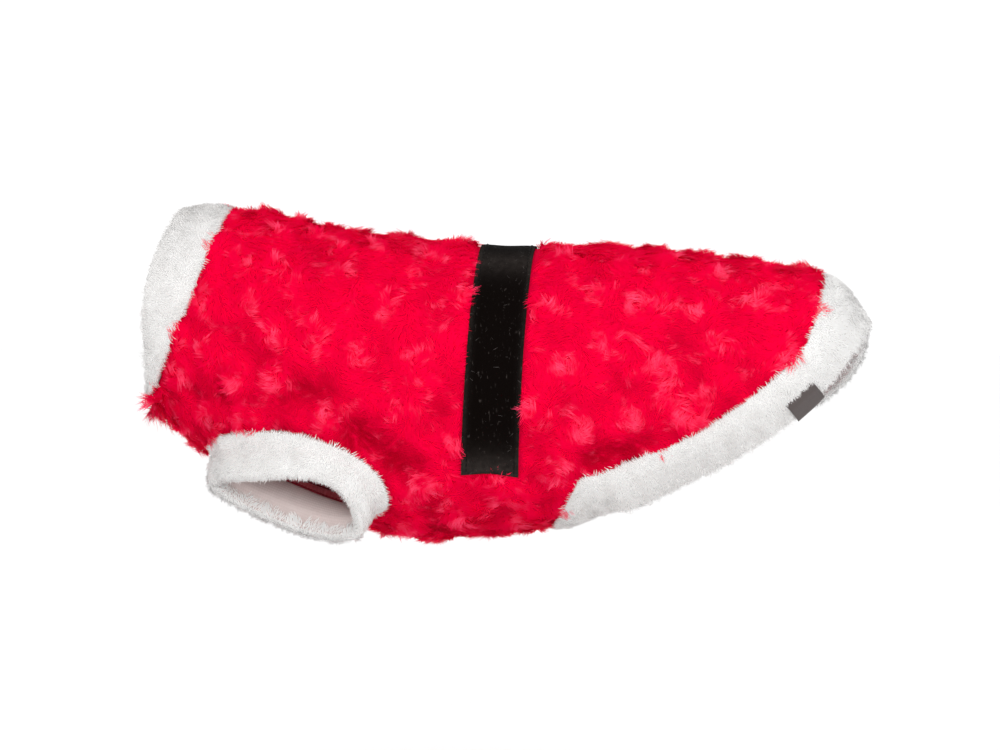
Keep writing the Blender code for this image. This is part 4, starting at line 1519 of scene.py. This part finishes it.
@dataclass
class PlushPanel:
    """One panel of red rosette plush: a thin shell, and its pile in pieces of a fair size."""

    shop: Workshop
    node: str
    grid: Callable
    carries_belt: bool
    flat: tuple[float, float]
    area: float
    fineness: int = 3
    wall: float = 6.6 * MM
    ground_depth: float = 2.5 * MM
    pressed_depth: float = 3.75 * MM
    pile_length: float = 6.6 * MM
    lump: float = 0.45 * MM
    edge_drop: float = 0.9 * MM
    hollow_drop: float = 0.9 * MM
    crease_shade: float = 4.2 * MM
    belly_from: float = 85
    belly_spread: float = 40
    chest_place: float = 0.9
    chest_from: float = 128
    chest_spread: float = 26
    chest_way: tuple[float, float, float] = (-0.12, 0, -1.0)
    edge_pull: float = 1.6
    beyond_belt: float = 2.5 * MM
    sewing: tuple = ()

    def build(self) -> bpy.types.Object:
        form = self.shop.form
        place, angle = self.grid(self.fineness)
        root = form.cloth(place, angle)
        along, round_it, normal = form.cloth_frame(place, angle)
        closeness, arm, turn = self.shop.rosettes.read(place, angle)
        standing = self.standing(place, angle) if self.carries_belt else np.ones_like(place)
        hollow = self.hollows(root, place, angle, closeness)
        edge, pull = self.edges(root, along, round_it)
        depth = self.pressed_depth + (self.ground_depth - self.pressed_depth) * standing
        depth = depth + self.edge_drop * edge + self.hollow_drop * hollow
        lumps = (closeness - 0.5) * self.shop.rosettes.rise + wandering(root, 11 * MM, 1.0) * self.lump
        outer = root - normal * (depth - lumps * standing)[..., None]
        inner = root - normal * self.wall
        shell = self.make_shell(outer, inner, place, angle)
        comb, lean = self.combed(root, along, round_it, closeness, arm, turn)
        # Lower down the sides the tufts get more of their painted highlight.
        low = ease((np.degrees(np.abs(angle)) - self.belly_from) / self.belly_spread)
        chest = self.chest(place, angle)
        pull = pull * (1 - chest)[..., None] + np.array(self.chest_way) * chest[..., None]
        fields = {
            "comb": unit(comb + pull * self.edge_pull),
            "pile": self.pile_length * (0.92 + 0.25 * closeness - 0.18 * hollow + 0.6 * chest
                                        + 0.3 * edge * wandering(root, 17 * MM, 6.0)),
            "lean": lean - 0.45 * chest,
            "heart": closeness ** 2.2 * (1 + 0.35 * low) + 0.12 * low,
            # The pile sinks with this value, and the fibres take painted shade from it.
            "hollow": hollow,
            "thickness": standing,
        }
        piles = []
        for index, (rows, columns) in enumerate(self.blocks(place)):
            label = f"{self.node}_pile_{index + 1}"
            block = outer[rows, columns]
            skin = MeshMaker.make("skin", block, Faces.grid(*block.shape[:2]))
            for name, values in fields.items():
                MeshMaker.note(skin, name, values[rows, columns])
            piles.append(self.shop.grower.grow(skin, label, RED_PILE, self.shop.red_fibres, 10 + index))
        goes_with = piles + list(self.sewing)
        for piece in [shell] + goes_with:
            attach(piece, "root")
        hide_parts(self.node)
        return shell

    def standing(self, place: np.ndarray, angle: np.ndarray) -> np.ndarray:
        """How much of the pile stands up: 1 in the open and 0 under the belt."""
        cut = self.shop.cut
        belt = cut.belt_places()
        beside = ease((np.abs(place - belt[2]) - (belt[3] - belt[2])) / (belt[4] - belt[3]))
        beyond = ease((np.abs(angle) - cut.belt_end(place)) * self.shop.form.girth_radius / self.beyond_belt)
        return np.maximum(beside, beyond)

    def chest(self, place: np.ndarray, angle: np.ndarray) -> np.ndarray:
        """How much the pile hangs loose, at the chest under the collar."""
        low = ease((np.degrees(np.abs(angle)) - self.chest_from) / self.chest_spread)
        return ease(1 - place / self.chest_place) * low

    def hollows(self, root: np.ndarray, place: np.ndarray, angle: np.ndarray,
                closeness: np.ndarray) -> np.ndarray:
        """How much the pile sinks between tufts, more in creases and where the cloth is slack, and how much
        painted shade its fibres get.
        """
        slack = 0.3 + 0.6 * ease((np.degrees(np.abs(angle)) - 60) / 60)
        uneven = 0.4 + 0.8 * wandering(root, 48 * MM, 3.3)
        creased = self.shop.form.sunk(place, angle) / self.crease_shade
        return np.clip((slack * uneven + creased) * (1 - 1.3 * closeness), 0, 1)

    def edges(self, root: np.ndarray, along: np.ndarray, round_it: np.ndarray) -> tuple:
        """How near the panel's cut edges are, and the way that the pile leans over them."""
        def reach(axis: int) -> tuple[np.ndarray, np.ndarray]:
            """How far each point is from the nearer edge along one axis, and on which side that is."""
            steps = np.linalg.norm(np.diff(root, axis=axis, prepend=np.take(root, [0], axis)), axis=-1)
            run = np.cumsum(steps, axis)
            rest = np.take(run, [-1], axis) - run
            return np.minimum(run, rest), np.where(run > rest, 1.0, -1.0)

        beside, side = reach(1)
        before, end = reach(0)
        pull = round_it * (side * np.exp(-beside / (4 * MM)))[..., None]
        pull = pull + along * (end * np.exp(-before / (4 * MM)))[..., None]
        return np.exp(-np.minimum(beside, before) / (2.2 * MM)), pull

    def make_shell(self, outer: np.ndarray, inner: np.ndarray, place: np.ndarray,
                   angle: np.ndarray) -> bpy.types.Object:
        """The closed shell, with plush ground outside and knitted backing inside."""
        flats = np.stack([angle * self.shop.form.girth_radius, place * self.shop.form.section_step], -1)
        shell = MeshMaker.shell(self.node + "_cloth", outer, inner, flats)
        shell.data.materials.append(self.shop.red_ground)
        shell.data.materials.append(self.shop.red_backing)
        rows, columns = outer.shape[:2]
        side = (rows - 1) * (columns - 1)
        indices = np.zeros(len(shell.data.polygons), np.int32)
        indices[side: 2 * side] = 1
        shell.data.polygons.foreach_set("material_index", indices)
        return shell

    def combed(self, root: np.ndarray, along: np.ndarray, round_it: np.ndarray, closeness: np.ndarray,
               arm: np.ndarray, turn: np.ndarray) -> tuple[np.ndarray, np.ndarray]:
        """The way that the pile lies, and how far it stands up from that.

        Returns:
            A vector in space and an extra lean in radians for each point.
        """
        out = -unit(arm)
        whirl = np.stack([-out[..., 1], out[..., 0]], -1) * turn[..., None]
        nap = np.stack([0.7 + 0 * turn, 0.5 * wandering(root, 60 * MM, 4.0)], -1)
        drift = np.stack([wandering(root, 34 * MM, 7.0), wandering(root, 29 * MM, 9.0)], -1)
        share = np.clip(closeness * 1.9, 0, 1)[..., None]
        flat = share * (whirl * 0.9 + out * 0.35) + (1 - share) * nap + drift * 0.75
        comb = along * flat[..., :1] + round_it * flat[..., 1:]
        lean = 0.04 - 0.22 * closeness ** 2 + 0.1 * wandering(root, 16 * MM, 12.0)
        return unit(comb), lean

    def blocks(self, place: np.ndarray) -> list[tuple[slice, slice]]:
        """The parts of the grid whose pile is one piece each."""
        rows, columns = place.shape
        if not self.carries_belt:
            return [(slice(0, rows), slice(0, columns))]
        belt_row = int(np.argmin(np.abs(place[:, columns // 2] - self.shop.cut.belt)))
        middle = columns // 2
        return [
            (slice(0, belt_row + 1), slice(0, middle + 1)),
            (slice(0, belt_row + 1), slice(middle, columns)),
            (slice(belt_row, rows), slice(0, middle + 1)),
            (slice(belt_row, rows), slice(middle, columns)),
        ]


@dataclass
class TrimBand:
    """One folded band of white plush: its shell round the seam, and its pile."""

    shop: Workshop
    node: str
    seam: np.ndarray
    width: np.ndarray
    aim: Callable
    puff: float
    flat: tuple[float, float]
    seed: int
    around: int = 3
    over: int = 2
    turned_in: int = 7
    inset: float = 1.6 * MM
    seam_drop: float = 0.2 * MM
    seam_lean: float = 4 * MM
    pile_length: float = 2.6 * MM
    lump: float = 0.25 * MM
    roll: float = 0.0
    roll_columns: float = 3.6
    rim: float = 0.25
    # Painted shade that darkens the band's fibres, on top of their uneven patches.
    shade: np.ndarray | float = 0.0
    backing: bpy.types.Material | None = None

    def outlines(self) -> np.ndarray:
        """The band's outlines as the solid has them."""
        return BandShape(self.shop.form, self.shop.cut).outlines(self.seam, self.width, self.aim, self.puff)

    def build(self) -> bpy.types.Object:
        rough = self.outlines()
        full = resampled(resampled(rough, self.around, 0), self.over, 1, closed=False)
        rounds, count = full.shape[:2]
        last = (len(BandShape.rails) + len(BandShape.lip_degrees)) * self.over
        way = unit(np.gradient(full, axis=1))
        run = unit(np.roll(full, -1, 0) - np.roll(full, 1, 0))
        normal = unit(np.cross(way, run))
        mirrored = (len(BandShape.rails) * 2 + len(BandShape.lip_degrees) - 2) * self.over
        normal *= np.sign(np.sum(normal[:, self.over] * (full[:, self.over] - full[:, mirrored]), -1).mean())
        sunk = np.zeros(count)
        sunk[: last - self.over] = self.inset
        sunk[last - self.over: last] = np.linspace(self.inset, 0, self.over)
        sunk[: self.over + 1] += np.linspace(self.seam_drop, 0, self.over + 1)
        fold = self.roll * np.exp(-(((np.arange(count) - last + self.over) / self.roll_columns) ** 2))
        lumps = wandering(full, 9 * MM, 2.0 + self.seed) * self.lump * (sunk > 0) + fold
        shell_points = full - normal * (sunk - lumps)[..., None]
        faces = Faces.grid(rounds, count, True, True)
        steps = np.linalg.norm(np.diff(full, axis=1, prepend=full[:, :1]), axis=-1)
        turns = np.linalg.norm(np.diff(full[:, 4], axis=0, prepend=full[:1, 4]), axis=-1)
        flats = np.stack([np.cumsum(turns)[:, None] + 0 * steps, np.cumsum(steps, 1)], -1)
        shell = MeshMaker.make(self.node + "_cloth", shell_points, faces, flats)
        shell.data.materials.append(self.shop.white_ground)
        shell.data.materials.append(self.backing or self.shop.white_backing)
        column = np.tile(np.arange(count), rounds)
        shell.data.polygons.foreach_set("material_index", (column >= last).astype(np.int32))
        MeshMaker.outward(shell)
        pile = self.grow_pile(shell_points, normal, way, run, last + self.turned_in)
        for piece in (shell, pile):
            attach(piece, "root")
        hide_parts(self.node)
        return shell

    def grow_pile(self, points: np.ndarray, normal: np.ndarray, way: np.ndarray, run: np.ndarray,
                  last: int) -> bpy.types.Object:
        """The band's pile, over its outer face, round its lip and a little way in."""
        rounds, columns = len(points), np.arange(points.shape[1])
        rim = np.exp(-(((columns - last + self.turned_in) / 3) ** 2))
        part = np.concatenate([points[:, :last], points[:1, :last]])
        away = np.cumsum(np.linalg.norm(np.diff(points, axis=1, prepend=points[:, :1]), axis=-1), 1)
        back = (3.0 * np.exp(-((away / self.seam_lean) ** 2)))[..., None]
        drift = wandering(points, 22 * MM, 5.0)[..., None] * run * 0.8 + way * (0.55 - back)
        shade = np.repeat(np.broadcast_to(self.shade, len(self.seam)), self.around)[:, None]
        fields = {
            "comb": unit(drift),
            "pile": self.pile_length * (1 + 0.15 * wandering(points, 12 * MM, 8.0) + self.rim * rim),
            "lean": 0.15 * wandering(points, 10 * MM, 3.0) - 0.1,
            "heart": 0.5 + 0.4 * wandering(points, 8 * MM, 6.0),
            # Uneven patches plus the band's painted shade.
            "hollow": np.clip(0.3 * wandering(points, 26 * MM, 1.5) + shade, 0, 1),
            "thickness": np.ones(points.shape[:2]) * np.clip((last - columns) / 3, 0, 1),
        }
        faces = Faces.grid(rounds + 1, last)
        if np.sum(np.cross(way[0, 2], run[0, 2]) * normal[0, 2]) < 0:
            faces = faces[:, ::-1]
        skin = MeshMaker.make("skin", part, faces)
        for name, values in fields.items():
            MeshMaker.note(skin, name, np.concatenate([values[:, :last], values[:1, :last]]))
        return self.shop.grower.grow(skin, self.node + "_pile", WHITE_PILE, self.shop.white_fibres, self.seed)


@dataclass
class Belt:
    """The velvet belt: a strip sewn over the back, sunk in the pile."""

    shop: Workshop
    rows: int = 12
    columns: int = 120
    floor: float = 3.3 * MM
    thickness: float = 1.4 * MM
    waist: float = 0.94
    flare: float = 0.08
    # Where the painted sheen lies: how far in from the ends and long edges, and how far to either side of the
    # spine.
    worn_end: float = 0.07
    worn_edge: float = 0.12
    worn_spine: float = 0.22

    def build(self) -> bpy.types.Object:
        form, cut = self.shop.form, self.shop.cut
        half = cut.belt_width / 2 / BELT_ROW_STEP
        share = np.linspace(-1, 1, self.rows + 1)[:, None]
        across = np.linspace(-1, 1, self.columns + 1)[None, :]
        place = cut.belt + half * share * (self.waist + self.flare * np.abs(across))
        angle = cut.belt_end(place) * across
        root, normal = form.cloth(place, angle), form.cloth_frame(place, angle)[2]
        crown = (1 - share ** 6) * 0.35 * MM + wandering(root, 40 * MM, 2.0) * 0.2 * MM
        ends = 0.4 * MM * np.exp(-((1 - np.abs(across)) / 0.035) ** 2)
        top = self.floor - self.thickness
        outer = root - normal * (top - crown - ends + 0.25 * MM)[..., None]
        inner = root - normal * (self.floor - 0.05 * MM)
        flats = np.stack([angle * form.girth_radius, place * BELT_ROW_STEP], -1)
        belt = MeshMaker.shell("belt_strip", outer, inner, flats)
        belt.data.materials.append(self.shop.velvet)
        # Painted sheen near the belt's ends, its long edges and either side of the spine.
        near_end = np.exp(-((1 - np.abs(across)) / self.worn_end) ** 2) + 0 * share
        near_edge = np.exp(-((1 - np.abs(share)) / self.worn_edge) ** 2) + 0 * across
        near_spine = np.exp(-((np.abs(across) - self.worn_spine) / self.worn_end) ** 2) + 0 * share
        worn = np.clip(0.9 * near_end + 0.6 * near_edge + 0.6 * near_spine, 0, 1)
        MeshMaker.note(belt, "worn", np.concatenate([worn.ravel(), 0 * worn.ravel()]))
        goes_with = [self.grow_lint(outer, Faces.grid(self.rows + 1, self.columns + 1), root)]
        for name, row in (("belt_stitches_front", 1), ("belt_stitches_rear", self.rows - 1)):
            line = outer[row, 1:-1] - normal[row, 1:-1] * 0.1 * MM
            goes_with.append(self.shop.sewing.sew(name, line, False, self.shop.sewing.running, 3 * MM,
                                                  0.05 * MM, self.shop.black_thread, self.shop.black_thread))
        for piece in [belt] + goes_with:
            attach(piece, "root")
        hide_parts("belt")
        return belt

    def grow_lint(self, outer: np.ndarray, faces: np.ndarray, root: np.ndarray) -> bpy.types.Object:
        """The stray hairs that lie on the velvet."""
        skin = MeshMaker.make("skin", outer, faces)
        level = np.ones(outer.shape[:2])
        along = unit(np.gradient(outer, axis=0))
        fields = {
            "comb": along,
            "pile": 1.9 * MM * (1 + 0.4 * wandering(root, 15 * MM, 2.0)),
            "lean": 0.05 * level,
            "heart": 0 * level,
            "hollow": 0 * level,
            "thickness": np.clip(0.45 + 0.5 * wandering(root, 40 * MM, 6.0), 0.05, 1),
        }
        for name, values in fields.items():
            MeshMaker.note(skin, name, values)
        return self.shop.grower.grow(skin, "belt_lint", LINT, self.shop.lint, 61)


@dataclass
class Label:
    """The blank woven label, folded over the hem band's lip by the tail."""

    shop: Workshop
    start: float = 62.1
    end: float = 63.6
    steps: int = 14
    first_rail: int = 2
    last_rail: int = 8
    skipped: int = 4
    clearance: float = 0.6 * MM
    thickness: float = 0.7 * MM
    tuck: float = 2.4 * MM
    tuck_reach: float = 1.4
    flat: tuple[float, float] = (0.020, 0.016)

    def build(self, outlines: np.ndarray) -> bpy.types.Object:
        shares = np.linspace(self.start, self.end, self.steps + 1)
        before = shares.astype(int)
        part = (shares - before)[:, None, None]
        start, end = outlines[before], outlines[(before + 1) % len(outlines)]
        line = (start + (end - start) * part)[:, self.first_rail: self.last_rail]
        line = resampled(line, 4, 1, closed=False)[:, self.skipped:]
        along = unit(np.gradient(line, axis=0))
        run = np.gradient(line, axis=1)
        outward = unit(np.cross(run, along))
        tucked = self.tuck * np.exp(-((np.arange(line.shape[1]) / self.tuck_reach) ** 2))[None, :, None]
        low = line + outward * (self.clearance - tucked)
        high = low + outward * self.thickness
        width = np.cumsum(np.linalg.norm(run, axis=-1), 1)
        flats = np.stack([width, np.linspace(0, self.flat[0], len(line))[:, None] + 0 * width], -1)
        label = MeshMaker.shell("label_ribbon", high, low, flats)
        label.data.materials.append(self.shop.ribbon)
        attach(label, "root")
        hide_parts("label")
        return label


@dataclass
class Coat:
    """The whole coat, built piece by piece."""

    shop: Workshop = field(default_factory=Workshop)
    collar_table: tuple[CollarPoint, ...] = (
        CollarPoint(0, 30, -2),
        CollarPoint(45, 29, 6),
        CollarPoint(80, 27.5, 18),
        CollarPoint(98, 22.5, 26),
        CollarPoint(119, 16.5, 42),
        CollarPoint(145, 8.5, 54),
        CollarPoint(180, 6.5, 68),
    )
    hem_table: tuple[HemPoint, ...] = (
        HemPoint(0, 37.5, 0.5),
        HemPoint(40, 35.5, 0.5),
        HemPoint(79, 28.5, 0.45),
        HemPoint(93, 30, 0.4),
        HemPoint(109, 30, 0.35),
        HemPoint(120, 31, 0.33),
        HemPoint(132, 34, 0.22),
        HemPoint(152, 24, 0.12),
        HemPoint(180, 19, 0.12),
    )
    # Painted shade on the white bands: the collar all round and more at its top, the hem lower down the
    # flanks, the cuffs all over.
    collar_shade: float = 0.6
    collar_shade_top: float = 0.3
    collar_top: float = 40
    collar_top_spread: float = 30
    far_corner: float = 8 * MM
    far_corner_place: float = 10.6
    far_corner_spread: float = 0.3
    hem_shade: float = 0.6
    hem_shade_from: float = 70
    hem_shade_spread: float = 40
    far_corner_from: float = 85
    cuff_shade: float = 0.35
    cuff_lip: float = 0.3
    cuff_width: float = 24 * MM
    cuff_rise: float = 10 * MM
    cuff_rise_place: float = 3.75
    cuff_rise_spread: float = 0.6
    cuff_drop: float = 4.5 * MM
    leg_forward: float = 0.30
    leg_down: float = 0.88
    leg_outward_mean: float = 0.26
    leg_outward_change: float = 0.2

    def collar(self) -> TrimBand:
        """The collar, whose band turns from the neck seam to lie round the neck."""
        seam = self.shop.cut.neck_seam()
        degrees = np.degrees(np.abs(seam[:, 1]))
        width = read_curve([(row.degrees, row.width) for row in self.collar_table], degrees) * MM
        rise = np.radians(read_curve([(row.degrees, row.rise) for row in self.collar_table], degrees))

        def aim(normal: np.ndarray, leaving: np.ndarray) -> np.ndarray:
            """The way that the band leaves its seam."""
            return np.stack([-np.cos(rise), 0 * rise, np.sin(rise)], -1)

        # Painted shade: darker all round, and more towards the top of the collar.
        top = ease((self.collar_top - degrees) / self.collar_top_spread)
        return TrimBand(self.shop, "collar", seam, width, aim, 1.6 * MM, (0.022, 0.355), 31,
                        shade=self.collar_shade + self.collar_shade_top * top)

    def cuff(self, side: Side) -> TrimBand:
        """A leg cuff, whose band hangs down, forward and out."""
        seam = self.shop.cut.leg_seam(side)
        above = self.shop.cut.leg_level(seam[:, 0]) - np.abs(np.degrees(seam[:, 1]))
        above = np.where(above > 0, above / self.shop.cut.leg_rise, above / self.shop.cut.leg_drop)
        outward = self.leg_outward_mean + self.leg_outward_change * above

        def aim(normal: np.ndarray, leaving: np.ndarray) -> np.ndarray:
            """The way that the band leaves its seam."""
            facing = np.where(seam[:, 1] > 0, 1.0, -1.0)
            forward, down = self.leg_forward + 0 * above, self.leg_down + 0 * above
            return np.stack([-forward, -facing * outward, -down], -1)

        name = "cuff_" + side.name.lower()
        away = (seam[:, 0] - self.cuff_rise_place) / self.cuff_rise_spread
        width = self.cuff_width - self.cuff_rise * np.exp(-away * away) * ease(above / self.cuff_lip)
        front = np.exp(-(((seam[:, 0] - seam[:, 0].min()) / self.cuff_lip) ** 2))
        width = width - self.cuff_drop * np.maximum(ease(-above / self.cuff_lip), front)
        # Painted shade over the cuff's pile, and the shaded backing inside it.
        return TrimBand(self.shop, name, seam, width, aim, 1.4 * MM, (0.022, 0.30), 33 + side.value,
                        turned_in=4, roll=3.4 * MM, rim=0.25, shade=self.cuff_shade,
                        backing=self.shop.cuff_backing)

    def hem(self) -> TrimBand:
        """The hem band, which curls a little inwards."""
        seam = self.shop.cut.hem_seam()
        degrees = np.degrees(np.abs(seam[:, 1]))
        width = read_curve([(row.degrees, row.width) for row in self.hem_table], degrees) * MM
        away = (seam[:, 0] - self.far_corner_place) / self.far_corner_spread
        low_far = (seam[:, 1] < 0) & (degrees > self.far_corner_from)
        width = width - self.far_corner * np.exp(-away * away) * low_far
        curl = read_curve([(row.degrees, row.curl) for row in self.hem_table], degrees)[:, None]

        def aim(normal: np.ndarray, leaving: np.ndarray) -> np.ndarray:
            """The way that the band leaves its seam."""
            return leaving - normal * curl

        # Painted shade: the hem band darker lower down the flanks.
        return TrimBand(self.shop, "hem_band", seam, width, aim, 1.6 * MM, (0.025, 0.62), 37,
                        shade=self.hem_shade * ease((degrees - self.hem_shade_from) / self.hem_shade_spread))

    def build(self) -> None:
        """Builds every piece in order."""
        cut, shop = self.shop.cut, self.shop
        seams = InnerSeams(shop.form, cut).build(shop.sewing, shop.seam_core, shop.red_thread)
        panels = (
            PlushPanel(shop, "back_panel", cut.back_grid, True, (0.33, 0.375), 0.0999, sewing=tuple(seams)),
            PlushPanel(shop, "belly_panel", cut.belly_grid, False, (0.11, 0.265), 0.0200),
        )
        hem = self.hem()
        cuffs = (self.cuff(Side.NEAR), self.cuff(Side.FAR))
        for piece in (*panels, self.collar(), *cuffs, hem, Belt(shop)):
            built = piece.build()
            log.info("%s: %d triangles", built.name, triangle_count(built))
        label = Label(shop).build(hem.outlines())
        log.info("%s: %d triangles", label.name, triangle_count(label))
        shop.grower.clear()
        shop.sewing.clear()


@dataclass(frozen=True)
class Studio:
    """The pale floor, the soft light and the camera."""

    floor_level: float = -0.30
    floor_half: float = 4.0
    target: tuple[float, float, float] = (-0.00275, 0.0, -0.0664)
    azimuth: float = 5.0
    elevation: float = 4.0
    lens: float = 100.0
    sensor: float = 36.0
    frame_width: float = 0.550

    def build(self) -> None:
        """Builds all of it."""
        self.floor()
        self.sky()
        self.lamp("key_softbox", (0.15, -1.34, 0.30), 1.0, 9.0)
        self.lamp("top_softbox", (0.25, 0.10, 1.25), 1.2, 0.3)
        self.camera()

    def floor(self) -> None:
        """The plain floor, a little below the coat."""
        half, level = self.floor_half, self.floor_level
        corners = np.array([(x * half, y * half, level) for x, y in ((-1, -1), (1, -1), (1, 1), (-1, 1))])
        floor = MeshMaker.make("studio_floor", corners, np.array([(0, 1, 2, 3)]))
        material, hand, shader = new_material("studio_paper")
        grain = noise_at(hand, 0.4)
        hand.join(hand.blend(grain, (0.9, 0.9, 0.9, 1), (0.93, 0.93, 0.93, 1)), shader.inputs["Base Color"])
        shader.inputs["Roughness"].default_value = 0.9
        floor.data.materials.append(material)

    def sky(self) -> None:
        """The even white surround."""
        world = bpy.data.worlds.new("studio_surround")
        world.use_nodes = True
        background = world.node_tree.nodes["Background"]
        background.inputs["Color"].default_value = (1.0, 1.0, 1.0, 1)
        background.inputs["Strength"].default_value = 1.1
        bpy.context.scene.world = world
        bpy.context.scene.view_settings.view_transform = "Standard"

    def lamp(self, name: str, place: tuple[float, float, float], size: float, power: float) -> None:
        """One square softbox that faces the coat."""
        light = bpy.data.lights.new(name, "AREA")
        light.size = size
        light.energy = power
        lamp = bpy.data.objects.new(name, light)
        lamp.location = place
        lamp.rotation_euler = (Vector(place) - Vector(self.target)).to_track_quat("Z", "Y").to_euler()
        bpy.context.scene.collection.objects.link(lamp)

    def camera(self) -> None:
        """The camera, a little above and to the rear of square on."""
        data = bpy.data.cameras.new("studio_camera")
        data.lens = self.lens
        data.sensor_width = self.sensor
        camera = bpy.data.objects.new("studio_camera", data)
        turn, tilt = math.radians(self.azimuth), math.radians(self.elevation)
        way = Vector((math.sin(turn) * math.cos(tilt), -math.cos(turn) * math.cos(tilt), math.sin(tilt)))
        camera.location = Vector(self.target) + way * self.lens / self.sensor * self.frame_width
        camera.rotation_euler = way.to_track_quat("Z", "Y").to_euler()
        bpy.context.scene.collection.objects.link(camera)
        bpy.context.scene.camera = camera


def main() -> None:
    """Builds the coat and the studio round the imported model."""
    logging.basicConfig(level=logging.INFO, format="%(name)s %(message)s")
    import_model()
    Coat().build()
    Studio().build()


if __name__ == "__main__":
    main()
